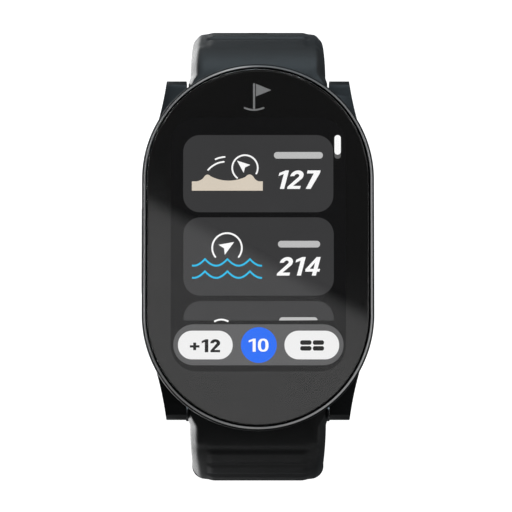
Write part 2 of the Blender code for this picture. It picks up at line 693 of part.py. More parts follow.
def make_buckle(steel_mat):
    """Pin buckle: open frame with eyes round the bar, the bar, and the tongue."""
    half = BUCKLE_THICK / 2
    outer = rounded_box(-BUCKLE_OUTER_HALF, -1.2, BUCKLE_OUTER_HALF, BUCKLE_REACH, 3.2, 5)
    inner = rounded_box(-BUCKLE_INNER_HALF, -3.0, BUCKLE_INNER_HALF, BUCKLE_REACH - 3.0, 1.6, 4)
    frame = plate("buckle_frame", [outer], -half, half, steel_mat)
    cut(frame, plate("window", [inner], -5, 5, None, CUTTERS))
    eyes = []
    for x_side in (1, -1):
        eye = rod("eye", (x_side * BUCKLE_INNER_HALF, 0, 0), (x_side * BUCKLE_OUTER_HALF, 0, 0), 1.7, None, 20)
        eyes.append(eye)
    join(frame, *eyes)
    bore_half = BUCKLE_OUTER_HALF - 0.7
    cut(frame, rod("eye_bore", (-bore_half, 0, 0), (bore_half, 0, 0), BUCKLE_BAR_RADIUS + 0.3, None, 20, CUTTERS))
    rest = box("tongue_rest", (-1.7, BUCKLE_REACH - 4.0, -half - 1), (1.7, BUCKLE_REACH + 2, 0.1), None, CUTTERS)
    cut(frame, rest)
    bar_half = BUCKLE_OUTER_HALF - 1.0
    bar = rod("buckle_bar", (-bar_half, 0, 0), (bar_half, 0, 0), BUCKLE_BAR_RADIUS, steel_mat, 20)
    eye = rod("buckle_tongue", (-TONGUE_HALF, 0, 0), (TONGUE_HALF, 0, 0), 1.65, steel_mat, 20)
    route = [(1.0, 0.0), (3.4, -0.15), (BUCKLE_REACH - 3.6, -0.75), (BUCKLE_REACH - 0.4, -0.75)]
    blade = side_plate("blade", ribbon(route, 0.9), -TONGUE_HALF, TONGUE_HALF, None, CUTTERS)
    join(eye, blade)
    cut(eye, rod("tongue_bore", (-5, 0, 0), (5, 0, 0), BUCKLE_BAR_RADIUS + 0.3, None, 20, CUTTERS))
    return [set_on_buckle_axis(piece) for piece in (frame, bar, eye)]


def make_keeper(name, along, mat):
    """A flat loop round the strap, with room on its outer side for the tail of the other strap."""
    half, _, inner = strap_size(along, lower_length(), False)
    room = STRAP_THIN + 0.3
    wide = half + 0.35
    inside = rounded_box(-wide, -inner - KEEPER_SLACK, wide, room, 1.5, 3)
    outside_low = -inner - KEEPER_SLACK - KEEPER_WALL
    outside = rounded_box(-wide - KEEPER_WALL, outside_low, wide + KEEPER_WALL, room + KEEPER_WALL, 2.4, 4)
    keeper = plate(name, [outside, inside], -KEEPER_WIDTH / 2, KEEPER_WIDTH / 2, mat)
    keeper.data.transform(Matrix.Rotation(math.radians(90), 4, "X"))
    return place_on_strap(smooth(keeper), -1, along)


# ---------------------------------------------------------------- the whole watch


def set_origin(thing, point):
    """Moves the object's origin without moving its shape."""
    shift = Vector(point) * MM
    thing.data.transform(Matrix.Translation(-shift))
    thing.location = shift


def main():
    silver = material("silver_bezel", (0.62, 0.63, 0.64), 0.25, 1.0)
    dark_case = material("dark_case", (0.02, 0.022, 0.024), 0.35, 0.6)
    steel = material("steel", (0.58, 0.58, 0.57), 0.28, 1.0)
    glass = material("black_glass", (0.01, 0.01, 0.012), 0.05)
    rubber = material("strap_rubber", (0.025, 0.028, 0.03), 0.55)
    seal = material("seal_rubber", (0.06, 0.06, 0.06), 0.7)
    plastic = material("dark_plastic", (0.03, 0.03, 0.033), 0.5)
    screen = material("screen", (0.05, 0.06, 0.08), 0.2)
    board = material("board_green", (0.02, 0.12, 0.06), 0.5)
    chip = material("chip_black", (0.02, 0.02, 0.02), 0.4)
    ceramic = material("ceramic", (0.55, 0.48, 0.38), 0.6)
    foil = material("battery_foil", (0.35, 0.36, 0.38), 0.4, 0.8)
    amber = material("amber_film", (0.45, 0.22, 0.05), 0.4)
    gold = material("gold_contact", (0.75, 0.56, 0.24), 0.25, 1.0)

    head = [make_mid_case(dark_case), make_bezel(silver), make_glass(glass), make_gasket(seal)]
    head += make_display(screen, plastic, amber)
    head += make_electronics(board, chip, steel, ceramic, foil, amber)
    head += make_back(plastic, seal, steel, gold)
    key_parts = make_side_key(dark_case, seal, steel, chip)
    lift(*head, *key_parts)
    for piece in (key_parts[0], key_parts[2]):
        set_origin(piece, (-KEY_OUT, 0, BACK_Z + KEY_HEIGHT))

    upper = make_upper_strap(rubber)
    upper_bar = make_spring_bar(1, "upper", steel)
    set_origin(upper[0], (0, BAR_Y, BAR_Z))
    for piece, at in zip(upper[1:], UPPER_JOINTS):
        set_origin(piece, strap_frame(1, at)[0])
    lower = make_lower_strap(rubber)
    lower_bar = make_spring_bar(-1, "lower", steel)
    set_origin(lower[0], (0, -BAR_Y, BAR_Z))
    for piece, at in zip(lower[1:], LOWER_JOINTS):
        set_origin(piece, strap_frame(-1, at)[0])
    for bar, side in ((upper_bar, 1), (lower_bar, -1)):
        for piece in bar:
            set_origin(piece, (0, side * BAR_Y, BAR_Z))

    make_buckle(steel)
    make_keeper("fixed_keeper", FIXED_KEEPER_AT, rubber)
    sliding = make_keeper("sliding_keeper", SLIDING_KEEPER_AT, rubber)
    set_origin(sliding, strap_frame(-1, SLIDING_KEEPER_AT)[0])


clear_scene()
PARTS = new_collection("golf_gps_watch")
CUTTERS = new_collection("cutters")
main()
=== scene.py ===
"""Looks of the golf GPS watch: case, glass, lit screen, strap, buckle and studio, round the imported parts.

Lengths are in millimetres until a mesh is made, and heights inside the head are measured from its back cover.
"""
import json
import math

import bmesh
import bpy
from mathutils import Matrix, Vector


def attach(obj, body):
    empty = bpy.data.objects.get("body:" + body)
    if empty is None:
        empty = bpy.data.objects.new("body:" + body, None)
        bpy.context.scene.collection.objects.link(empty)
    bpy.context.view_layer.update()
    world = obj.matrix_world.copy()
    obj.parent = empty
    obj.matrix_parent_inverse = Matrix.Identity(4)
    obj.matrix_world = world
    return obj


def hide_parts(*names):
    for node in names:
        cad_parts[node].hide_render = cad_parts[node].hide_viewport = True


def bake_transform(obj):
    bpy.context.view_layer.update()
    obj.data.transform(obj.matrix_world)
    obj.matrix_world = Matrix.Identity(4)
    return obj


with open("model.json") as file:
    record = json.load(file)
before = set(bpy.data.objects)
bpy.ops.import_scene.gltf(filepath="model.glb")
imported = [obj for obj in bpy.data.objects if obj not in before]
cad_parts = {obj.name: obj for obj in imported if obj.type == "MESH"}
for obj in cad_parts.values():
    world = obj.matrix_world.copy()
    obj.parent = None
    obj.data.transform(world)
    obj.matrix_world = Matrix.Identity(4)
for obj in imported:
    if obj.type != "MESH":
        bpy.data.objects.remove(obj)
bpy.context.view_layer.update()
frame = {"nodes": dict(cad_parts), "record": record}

MM = 0.001

# ---- the part's own dimensions, repeated

STRAIGHT_HALF = 11.7
GLASS_RADIUS = 19.05
GLASS_TOP = 11.9
GLASS_BOTTOM = 10.2
CAVITY_RADIUS = 18.3
CAVITY_END = 22.6
NOTCH_END = 23.6
NOTCH_TOP = 6.9
LUG_GAP_HALF = 12.4
LUG_TIP_X = 15.85
LUG_TIP_Y = 29.4
BAR_Y = 26.4
BAR_HEIGHT = 3.9
BAR_BORE = 1.2
HUB_RADIUS = 2.4
KEY_HEIGHT = 4.0
KEY_OUT = 20.25

STRAP_HEAD_HALF = 12.1
STRAP_ROOT_HALF = 11.8
STRAP_SIDE_HALF = 11.3
STRAP_TIP_HALF = 10.6
STRAP_THICK = 3.2
STRAP_THIN = 2.7
PLATEAU_HALF = 7.7
START_TILT = math.radians(12)
SHOULDER_LENGTH = 3.5
SHOULDER_RADIUS, SHOULDER_END = 11.6, math.radians(90)
SIDE_RADIUS, SIDE_END = 110.0, math.radians(112)
BOTTOM_RADIUS, BOTTOM_END = 18.0, math.radians(180)
UPPER_LENGTH = 102.3
SLOT_FIRST, SLOT_PITCH, SLOT_COUNT = 16.4, 7.0, 11
SLOT_WIDTH, SLOT_LENGTH = 3.5, 2.0
UPPER_BENDS, UPPER_SEAMS = (26.9, 47.9, 68.9), (40.9, 61.9)
LOWER_BENDS, LOWER_SEAMS = (25.0, 42.5), (33.2,)
BEND_HALF = 6.0
UPPER_GROOVE_FIRST, LOWER_GROOVE_FIRST, GROOVE_PITCH = 9.4, 8.3, 3.5
UPPER_GROOVE_DEPTH, LOWER_GROOVE_DEPTH, GROOVE_HALF = 0.4, 0.26, 0.55
UPPER_PLATEAU_START, LOWER_PLATEAU_START, PLATEAU_STEP = 9.4, 6.8, 0.26

BUCKLE_HUB = 2.05
BUCKLE_BAR_RADIUS = 0.75
BUCKLE_SWEEP_END = math.radians(140)
BUCKLE_REACH = 14.0
BUCKLE_THICK = 2.4
BUCKLE_INNER_HALF = 11.3
BUCKLE_OUTER_HALF = 13.4
TONGUE_HALF = 1.3
TONGUE_SLOT_HALF = 1.7
KEEPER_WIDTH = 4.6
KEEPER_WALL = 0.9
KEEPER_SLACK = 0.55
FIXED_KEEPER_AT, SLIDING_KEEPER_AT = 60.6, 55.5


# ---- mesh helpers


def add_object(name, mesh, mat=None):
    thing = bpy.data.objects.new(name, mesh)
    bpy.context.scene.collection.objects.link(thing)
    if mat:
        mesh.materials.append(mat)
    return thing


def mesh_from(name, bm):
    bmesh.ops.recalc_face_normals(bm, faces=bm.faces)
    mesh = bpy.data.meshes.new(name)
    bm.to_mesh(mesh)
    bm.free()
    return mesh


def smooth(thing, angle=35):
    thing.data.shade_smooth()
    thing.data.set_sharp_from_angle(angle=math.radians(angle))
    return thing


def evaluated(thing):
    bpy.context.view_layer.update()
    return bpy.data.meshes.new_from_object(thing.evaluated_get(bpy.context.evaluated_depsgraph_get()))


def apply_modifiers(thing):
    done = evaluated(thing)
    thing.modifiers.clear()
    thing.data = done


def boolean(thing, others, operation):
    for other in others:
        step = thing.modifiers.new(other.name, "BOOLEAN")
        step.operation = operation
        step.solver = "EXACT"
        step.object = other
    apply_modifiers(thing)
    for other in others:
        bpy.data.objects.remove(other, do_unlink=True)
    return thing


def cut(thing, *others):
    return boolean(thing, others, "DIFFERENCE")


def join(thing, *others):
    return boolean(thing, others, "UNION")


def bevel(thing, width, segments=3, angle=35):
    """Rounds the sharp edges and shades the result smooth."""
    bm = bmesh.new()
    bm.from_mesh(thing.data)
    bmesh.ops.remove_doubles(bm, verts=bm.verts, dist=0.00001)
    bmesh.ops.dissolve_limit(bm, angle_limit=math.radians(0.2), verts=bm.verts, edges=bm.edges)
    bm.to_mesh(thing.data)
    bm.free()
    step = thing.modifiers.new("edges", "BEVEL")
    step.width = width * MM
    step.segments = segments
    step.limit_method = "ANGLE"
    step.angle_limit = math.radians(angle)
    step.miter_outer = "MITER_ARC"
    apply_modifiers(thing)
    return smooth(thing, 40)


def plate(name, outlines, low, high, mat=None):
    """A flat piece from closed outlines in XY, inner ones being holes, between two heights."""
    curve = bpy.data.curves.new(name, "CURVE")
    curve.dimensions = "2D"
    curve.fill_mode = "BOTH"
    curve.extrude = (high - low) / 2 * MM
    for outline in outlines:
        spline = curve.splines.new("POLY")
        spline.points.add(len(outline) - 1)
        spline.use_cyclic_u = True
        for point, (x, y) in zip(spline.points, outline):
            point.co = (x * MM, y * MM, 0, 1)
    guide = add_object(name + "_outline", curve)
    mesh = evaluated(guide)
    bpy.data.objects.remove(guide, do_unlink=True)
    bm = bmesh.new()
    bm.from_mesh(mesh)
    bmesh.ops.remove_doubles(bm, verts=bm.verts, dist=0.000001)
    bmesh.ops.translate(bm, verts=bm.verts, vec=(0, 0, (low + high) / 2 * MM))
    bpy.data.meshes.remove(mesh)
    return add_object(name, mesh_from(name, bm), mat)


def side_plate(name, outline, left, right, mat=None):
    """A flat piece whose outline is given in YZ, between two X positions."""
    made = plate(name, [outline], left, right, mat)
    made.data.transform(Matrix(((0, 0, 1, 0), (1, 0, 0, 0), (0, 1, 0, 0), (0, 0, 0, 1))))
    return made


def box(name, low, high, mat=None):
    bm = bmesh.new()
    bmesh.ops.create_cube(bm, size=1.0)
    bmesh.ops.scale(bm, vec=(Vector(high) - Vector(low)) * MM, verts=bm.verts)
    bmesh.ops.translate(bm, vec=(Vector(low) + Vector(high)) / 2 * MM, verts=bm.verts)
    return add_object(name, mesh_from(name, bm), mat)


def turned(name, start, ahead, profile, mat=None, sides=40):
    """A turned piece: (distance, radius) pairs along a direction from a point; radius 0 closes an end."""
    start, ahead = Vector(start), Vector(ahead).normalized()
    turn = Vector((0, 0, 1)).rotation_difference(ahead).to_matrix()
    bm = bmesh.new()
    rows = []
    for distance, radius in profile:
        if radius == 0:
            rows.append([bm.verts.new((start + ahead * distance) * MM)])
            continue
        row = []
        for i in range(sides):
            t = 2 * math.pi * i / sides
            spot = start + ahead * distance + turn @ Vector((radius * math.cos(t), radius * math.sin(t), 0))
            row.append(bm.verts.new(spot * MM))
        rows.append(row)
    for here, there in zip(rows, rows[1:]):
        for i in range(sides):
            j = (i + 1) % sides
            ring = [here[i % len(here)], here[j % len(here)], there[j % len(there)], there[i % len(there)]]
            bm.faces.new(list(dict.fromkeys(ring)))
    for row in (rows[0], rows[-1]):
        if len(row) > 1:
            bm.faces.new(row)
    return smooth(add_object(name, mesh_from(name, bm), mat), 30)


def loft(name, rings, mats=(), closed=False, uvs=None, bands=None):
    """Joins rings of points in metres. uvs gives (u, v) per point, bands a material number per ring step."""
    bm = bmesh.new()
    layer = bm.loops.layers.uv.new("along") if uvs else None
    rows = [[bm.verts.new(point) for point in ring] for ring in rings]
    count = len(rows[0])
    steps = len(rows) if closed else len(rows) - 1
    for r in range(steps):
        here, there = rows[r], rows[(r + 1) % len(rows)]
        for i in range(count):
            j = (i + 1) % count
            face = bm.faces.new((here[i], here[j], there[j], there[i]))
            if bands:
                face.material_index = bands[r]
            if layer:
                spots = (uvs[r][i], uvs[r][j], uvs[r + 1][j], uvs[r + 1][i])
                for corner, spot in zip(face.loops, spots):
                    corner[layer].uv = spot
    if not closed:
        bm.faces.new(rows[0])
        bm.faces.new(reversed(rows[-1]))
    thing = add_object(name, mesh_from(name, bm))
    for mat in mats:
        thing.data.materials.append(mat)
    return thing


# ---- outlines


def pill(radius, y_end=None, steps=48):
    """The case's outline at a given end radius. y_end cuts both round ends off flat."""
    sweep = math.pi / 2
    if y_end is not None:
        sweep = math.asin((y_end - STRAIGHT_HALF) / radius)
    points = []
    for x_side, y_side in ((1, 1), (-1, 1), (-1, -1), (1, -1)):
        quarter = []
        for i in range(steps + 1):
            turn = sweep * i / steps
            y = STRAIGHT_HALF + radius * math.sin(turn)
            quarter.append((x_side * radius * math.cos(turn), y_side * y))
        if x_side * y_side < 0:
            quarter.reverse()
        points += [p for p in quarter if not points or math.dist(p, points[-1]) > 0.001]
    if math.dist(points[0], points[-1]) < 0.001:
        points.pop()
    return points


def pill_rings(profile, steps=48):
    return [[Vector((x, y, z)) * MM for x, y in pill(radius, None, steps)] for radius, z in profile]


def around(x, y, radius, turn):
    return x + radius * math.cos(turn), y + radius * math.sin(turn)


def circle(x, y, radius, count):
    return [around(x, y, radius, 2 * math.pi * i / count) for i in range(count)]


def rounded_box(x0, y0, x1, y1, radius, steps=10):
    corners = ((x1 - radius, y1 - radius, 0), (x0 + radius, y1 - radius, 1))
    corners += ((x0 + radius, y0 + radius, 2), (x1 - radius, y0 + radius, 3))
    points = []
    for cx, cy, quarter in corners:
        for i in range(steps + 1):
            points.append(around(cx, cy, radius, math.pi / 2 * (quarter + i / steps)))
    return points


def quadratic(start, control, end, steps=16):
    """Points on a quadratic curve, without its first point."""
    found = []
    for i in range(1, steps + 1):
        t = i / steps
        x = (1 - t) ** 2 * start[0] + 2 * t * (1 - t) * control[0] + t * t * end[0]
        y = (1 - t) ** 2 * start[1] + 2 * t * (1 - t) * control[1] + t * t * end[1]
        found.append((x, y))
    return found


def curves(start, *steps):
    """A point and those on the quadratic curves that follow it, each given as (control, end, count)."""
    found = [start]
    for control, end, count in steps:
        found += quadratic(found[-1], control, end, count)
    return found


def stroke(route, width, round_ends=True):
    """The outline of a line of even width along a route."""
    left, right = [], []
    last = len(route) - 1
    for i in range(last + 1):
        before, after = Vector(route[max(i - 1, 0)]), Vector(route[min(i + 1, last)])
        ahead = (after - before).normalized()
        side = Vector((-ahead.y, ahead.x)) * width / 2
        left.append(tuple(Vector(route[i]) + side))
        right.append(tuple(Vector(route[i]) - side))
    if not round_ends:
        return left + right[::-1]

    def cap(tip, ahead):
        turn = math.atan2(ahead.y, ahead.x)
        return [around(*tip, width / 2, turn + math.pi / 2 - math.pi * i / 8) for i in range(1, 8)]

    ahead = Vector(route[-1]) - Vector(route[-2])
    back = Vector(route[0]) - Vector(route[1])
    return left + cap(route[-1], ahead) + right[::-1] + cap(route[0], back)


def arc(x, y, radius, start, end, steps=40):
    """Points along an arc, with its angles in degrees."""
    turns = [math.radians(start + (end - start) * i / steps) for i in range(steps + 1)]
    return [around(x, y, radius, turn) for turn in turns]


# ---- the strap's path and section


PATH_RUNS = (
    (SHOULDER_LENGTH, 0.0),
    (SHOULDER_RADIUS * (SHOULDER_END - START_TILT), 1 / SHOULDER_RADIUS),
    (SIDE_RADIUS * (SIDE_END - SHOULDER_END), 1 / SIDE_RADIUS),
    (BOTTOM_RADIUS * (BOTTOM_END - SIDE_END), 1 / BOTTOM_RADIUS),
    (1000.0, 0.0),
)
SIDE_RUN_END = sum(run[0] for run in PATH_RUNS[:3])
BOTTOM_RUN_END = sum(run[0] for run in PATH_RUNS[:4])


def path_at(along):
    """(y, z, tilt) on the outer line at a length from the spring bar; z is from the spring bar's top."""
    y = BAR_Y + HUB_RADIUS * math.sin(START_TILT)
    z = HUB_RADIUS * math.cos(START_TILT)
    tilt = START_TILT
    for length, curvature in PATH_RUNS:
        step = min(along, length) if along > 0 else along
        if curvature:
            turned_to = tilt + step * curvature
            y += (math.sin(turned_to) - math.sin(tilt)) / curvature
            z += (math.cos(turned_to) - math.cos(tilt)) / curvature
            tilt = turned_to
        else:
            y += step * math.cos(tilt)
            z -= step * math.sin(tilt)
        along -= step
        if along <= 0:
            break
    return y, z, tilt


BAR_Z = -path_at(BOTTOM_RUN_END)[1]
BACK_Z = BAR_Z - BAR_HEIGHT
LOWER_LENGTH = SIDE_RUN_END + BOTTOM_RADIUS * (BUCKLE_SWEEP_END - SIDE_END)


def strap_frame(side, along):
    """Point, direction along the strap and outward direction. side is 1 at 12 o'clock and -1 at 6 o'clock."""
    y, z, tilt = path_at(along)
    point = Vector((0, side * y, z + BAR_Z))
    ahead = Vector((0, side * math.cos(tilt), -math.sin(tilt)))
    outward = Vector((0, side * math.sin(tilt), math.cos(tilt)))
    return point, ahead, outward


def ease(value):
    value = min(max(value, 0.0), 1.0)
    return value * value * (3 - 2 * value)


def strap_size(along, length, tail):
    """Half width, depth of the outer face below the outer line, and depth of the inner face."""
    taper = min(max(along / length, 0), 1)
    half = STRAP_ROOT_HALF + (STRAP_SIDE_HALF - STRAP_ROOT_HALF) * ease((along - 3.0) / 17.0)
    half += (STRAP_TIP_HALF - STRAP_SIDE_HALF) * max((along - 20.0) / (length - 20.0), 0.0)
    half += (STRAP_HEAD_HALF - half) * (1 - ease((along - 2.6) / 1.6))
    inner = STRAP_THICK + (STRAP_THIN - STRAP_THICK) * taper
    inner += (2 * HUB_RADIUS - inner) * (1 - ease(along / 7.0))
    outer = 0.0
    if along < 0:
        rise = math.sqrt(max(HUB_RADIUS**2 - along**2, 0))
        outer, inner = HUB_RADIUS - rise, HUB_RADIUS + rise
    if tail:
        tip = 9.0
        past = max(along - (length - tip), 0) / tip
        half *= max(1 - past**2.6, 0.0) ** (1 / 2.6)
    else:
        inner += (2 * BUCKLE_HUB - inner) * ease((along - length + 8.0) / 8.0)
        if along > length:
            rise = math.sqrt(max(BUCKLE_HUB**2 - (along - length) ** 2, 0))
            outer, inner = BUCKLE_HUB - rise, BUCKLE_HUB + rise
    return half, outer, inner


def groove_depth(along, length, tail):
    """Depth of the cross groove at a length: a row of shallow rounded furrows."""
    last = length - 8.0 if tail else length - 14.0
    first = UPPER_GROOVE_FIRST if tail else LOWER_GROOVE_FIRST
    number = round((along - first) / GROOVE_PITCH)
    if number < 0 or first + number * GROOVE_PITCH > last:
        return 0.0
    off = (along - first - number * GROOVE_PITCH) / GROOVE_HALF
    return (UPPER_GROOVE_DEPTH if tail else LOWER_GROOVE_DEPTH) * math.exp(-off * off * off * off)


def strap_section(along, length, tail):
    """(across, depth) points round the strap: raised plateau, lower shoulders, rounded edges, flat inside."""
    half, outer, inner = strap_size(along, length, tail)
    depth = inner - outer
    raised = ease((along - (UPPER_PLATEAU_START if tail else LOWER_PLATEAU_START)) / 1.6)
    if not tail:
        raised *= 1 - ease((along - length + 6.0) / 2.5)
    step_down = min(PLATEAU_STEP, 0.1 * depth) * raised
    plateau = min(PLATEAU_HALF, half * 0.68)
    grown = 0.3 + 0.7 * ease((along - 1.0) / 3.5)
    corner = min(1.3 * grown, half * 0.2, depth * 0.4)
    drop_to = depth * 0.54 * grown
    lower_corner = min(0.7, half * 0.1, depth * 0.25)
    groove = min(groove_depth(along, length, tail), 1.5 * step_down)
    slope = min(1.5, (half - corner - plateau) * 0.7)
    right = [(x * plateau, outer + groove) for x in (0.25, 0.55, 0.8, 0.95)]
    for i in range(6):
        t = i / 5
        drop = max(step_down * ease(t), groove * (1 - ease(t * 2.5 - 1.5)))
        right.append((plateau + slope * t, outer + drop))
    top, side = (half - corner, outer + step_down + 0.06 * raised), (half, outer + drop_to)
    x, w = (side[0] - top[0]) * 0.33, (side[1] - top[1]) * 0.33
    right += quadratic((top[0] - 0.4 * corner, top[1]), top, (top[0] + x, top[1] + w), 5)
    right += quadratic((side[0] - x, side[1] - w), side, (half, side[1] + 0.12 * depth), 5)
    for i in range(5):
        right.append(around(half - lower_corner, inner - lower_corner, lower_corner, math.pi / 2 * i / 4))
    right += [(half * 0.7, inner), (half * 0.35, inner)]
    return right + [(-x, w) for x, w in reversed(right)]


def strap_piece(name, side, start, end, length, tail, mat):
    """A stretch of strap between two lengths, in cross-sections close enough for its grooves."""
    marks = []
    low, high = start, end
    if start < 0:
        marks += [HUB_RADIUS * -math.cos(math.pi / 2 * i / 10) for i in range(10)]
        marks[0] = -0.995 * HUB_RADIUS
        low = 0.0
    if end > length and not tail:
        marks += [length + BUCKLE_HUB * math.sin(math.pi / 2 * i / 8) for i in range(1, 8)]
        marks.append(length + BUCKLE_HUB * 0.995)
        high = length
    if tail and end >= length:
        marks += [length - 2.6 * (1 - math.sin(math.pi / 2 * i / 12)) ** 1.5 - 0.004 for i in range(13)]
        high = length - 2.9
    count = round((high - low) / 0.35)
    marks += [low + (high - low) * i / count for i in range(count + 1)]
    rings, uvs = [], []
    for along in sorted(marks):
        point, _, outward = strap_frame(side, along)
        section = strap_section(along, length, tail)
        rings.append([(point + Vector((x, 0, 0)) - outward * w) * MM for x, w in section])
        uvs.append([(x * 0.1, along * 0.1) for x, w in section])
    return loft(name, rings, (mat,), uvs=uvs)


def place_on_strap(thing, side, along, depth=0.0):
    point, ahead, outward = strap_frame(side, along)
    across = ahead.cross(outward)
    turn = Matrix((across, ahead, outward)).transposed().to_4x4()
    thing.data.transform(Matrix.Translation((point - outward * depth) * MM) @ turn)
    return thing


def middle_of(side, along):
    """A point inside the strap at a length, in metres."""
    point, _, outward = strap_frame(side, along)
    return (point - outward * 1.5) * MM


# ---- materials


def feed(socket, value):
    """Links another node's output to a socket, or gives the socket a constant."""
    if isinstance(value, bpy.types.NodeSocket):
        socket.id_data.links.new(value, socket)
    else:
        socket.default_value = value


def put(node, **values):
    """Feeds a node's sockets or sets its own settings by name, with _ for a space."""
    for key, value in values.items():
        name = key.replace("_", " ")
        if name in node.inputs:
            feed(node.inputs[name], value)
        else:
            setattr(node, key, value)
    return node


def new_material(name, **sockets):
    mat = bpy.data.materials.new(name)
    mat.use_nodes = True
    return mat, mat.node_tree, put(mat.node_tree.nodes["Principled BSDF"], **sockets)


def add_node(tree, kind, numbered=(), **values):
    """A new node with its settings and sockets; numbered has (number, value) pairs for unnamed sockets."""
    made = put(tree.nodes.new("ShaderNode" + kind), **values)
    for number, value in numbered:
        feed(made.inputs[number], value)
    return made


def position(tree, space):
    """The place in a space, and its X, Y and Z outputs."""
    spot = add_node(tree, "TexCoord").outputs[space]
    return spot, add_node(tree, "SeparateXYZ", Vector=spot).outputs


def noise(tree, coords, scale, detail=4.0):
    return add_node(tree, "TexNoise", Vector=coords, Scale=scale, Detail=detail).outputs["Fac"]


def spread(tree, source, low, high):
    return add_node(tree, "MapRange", Value=source, From_Min=0.3, From_Max=0.7, To_Min=low,
                    To_Max=high).outputs["Result"]


def cloudy(tree, source, colour, vary):
    """A colour made a little darker and lighter by a noise."""
    shades = [(*[c * (1 + way * vary) for c in colour], 1) for way in (-1, 1)]
    numbered = ((6, shades[0]), (7, shades[1]), (0, spread(tree, source, 0.0, 1.0)))
    return add_node(tree, "Mix", numbered, data_type="RGBA").outputs[2]


def surface(name, colour, roughness, metallic=0.0, vary=0.12, grain=900.0, bump=0.05, uv=False,
            stretch=(1, 1, 1), spots=60.0, **sockets):
    """A surface with cloudy colour and gloss variation and a fine grain, in metres or along a piece's UVs."""
    mat, tree, shader = new_material(name, Metallic=metallic, **sockets)
    place = add_node(tree, "TexCoord").outputs["UV" if uv else "Object"]
    coords = add_node(tree, "Mapping", Vector=place, Scale=stretch).outputs["Vector"]
    fine = noise(tree, coords, grain, 2.0)
    put(shader, Base_Color=cloudy(tree, noise(tree, coords, spots), colour, vary),
        Roughness=spread(tree, fine, roughness * 0.88, roughness * 1.12))
    if bump:
        step = add_node(tree, "Bump", Strength=bump, Distance=0.0002, Height=fine)
        put(shader, Normal=step.outputs["Normal"])
    return mat


def lit_material(name, colour, vary=0.04):
    """A lit part of the screen: black under glass, with a light that wavers slightly across it."""
    mat, tree, shader = new_material(name, Emission_Strength=1.0, Base_Color=(0.004, 0.004, 0.004, 1),
                                     Roughness=0.8, Specular_IOR_Level=0.0)
    linear = [((c / 255 + 0.055) / 1.055) ** 2.4 / 0.92 for c in colour]
    source = noise(tree, add_node(tree, "TexCoord").outputs["Object"], 90.0)
    put(shader, Emission_Color=cloudy(tree, source, linear, vary))
    return mat


RUBBER = surface("silicone_strap", (0.0225, 0.0245, 0.026), 0.46, 0.0, 0.1, 260.0, 0.10, True,
                 (1, 1, 1), 3.0)
LOOP_RUBBER = surface("silicone_loop", (0.0225, 0.0245, 0.026), 0.48, 0.0, 0.1, 2600.0, 0.10)
CASE_COAT = surface("case_dark_coat", (0.020, 0.022, 0.024), 0.34, 0.35, 0.12, 3000.0, 0.05)
BEZEL_WALL = surface("bezel_dark_wall", (0.016, 0.017, 0.018), 0.5, 0.0, 0.12, 3000.0, 0.04,
                     Specular_IOR_Level=0.25)
BEZEL_BRIGHT = surface("bezel_bright_chamfer", (0.54, 0.545, 0.55), 0.24, 1.0, 0.06, 1800.0, 0.03,
                       False, (1, 1, 6))
GLASS = new_material("watch_glass", Base_Color=(1, 1, 1, 1), Transmission_Weight=1.0, Roughness=0.0,
                     IOR=1.5)[0]
MASK = surface("black_glass_print", (0.0045, 0.0045, 0.005), 0.07, 0.0, 0.1, 700.0, 0.0, IOR=1.7)
BACK = surface("back_cover_plastic", (0.026, 0.027, 0.029), 0.46, 0.0, 0.12, 3800.0, 0.16)
STEEL = surface("satin_steel", (0.56, 0.56, 0.55), 0.27, 1.0, 0.06, 2400.0, 0.04, False, (8, 1, 1))
BUCKLE_STEEL = surface("dark_brushed_steel", (0.11, 0.112, 0.118), 0.30, 1.0, 0.10, 2600.0, 0.08,
                       False, (0.12, 1, 1))
GOLD = surface("gold_plate", (0.75, 0.56, 0.24), 0.25, 1.0, 0.06, 1500.0, 0.03)
SCREEN = lit_material("screen_background", (12, 12, 13), 0.05)

SLOT_MATERIALS = {
    "bezel_silver": BEZEL_BRIGHT, "case_dark": CASE_COAT, "cover_glass": GLASS, "screen": SCREEN,
    "strap_rubber": LOOP_RUBBER, "back_plastic": BACK, "steel": STEEL, "buckle_steel": BUCKLE_STEEL,
    "contact_gold": GOLD,
    "seal_rubber": surface("seal_rubber", (0.045, 0.045, 0.046), 0.7, 0.0, 0.15, 2000.0, 0.15),
    "inner_plastic": surface("inner_plastic", (0.03, 0.03, 0.033), 0.5, 0.0, 0.12, 2200.0, 0.10),
    "board": surface("board_green", (0.02, 0.12, 0.06), 0.45, 0.0, 0.15, 1400.0, 0.05),
    "chip": surface("chip_epoxy", (0.02, 0.02, 0.02), 0.42, 0.0, 0.12, 2500.0, 0.08),
    "ceramic": surface("antenna_ceramic", (0.55, 0.48, 0.38), 0.6, 0.0, 0.06, 2000.0, 0.08),
    "battery_foil": surface("battery_foil", (0.35, 0.36, 0.38), 0.4, 0.8, 0.08, 800.0, 0.12),
    "amber_film": surface("amber_film", (0.45, 0.22, 0.05), 0.35, 0.0, 0.1, 900.0, 0.04),
}


def paint_cad_nodes():
    """Gives each carried-over node the material of its slot."""
    for entry in frame["record"]["subparts"]:
        mesh = frame["nodes"][entry["node"]].data
        mesh.materials.clear()
        mesh.materials.append(SLOT_MATERIALS[entry["material_slot"]])


def stands_for(thing, body, slot, *nodes):
    """thing rides on a body and stands for CAD nodes, which it hides. The slot is not used."""
    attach(thing, body)
    if nodes:
        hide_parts(*nodes)


def head_piece(thing, slot, *nodes, body="head"):
    """Raises a piece from the head's own zero to its height over the base, and stands it for CAD nodes."""
    thing.data.transform(Matrix.Translation((0, 0, BACK_Z * MM)))
    stands_for(thing, body, slot, *nodes)


# ---- the watch head


SCREWS = [(x * 15.2, y * 17.9) for x in (1, -1) for y in (1, -1)]


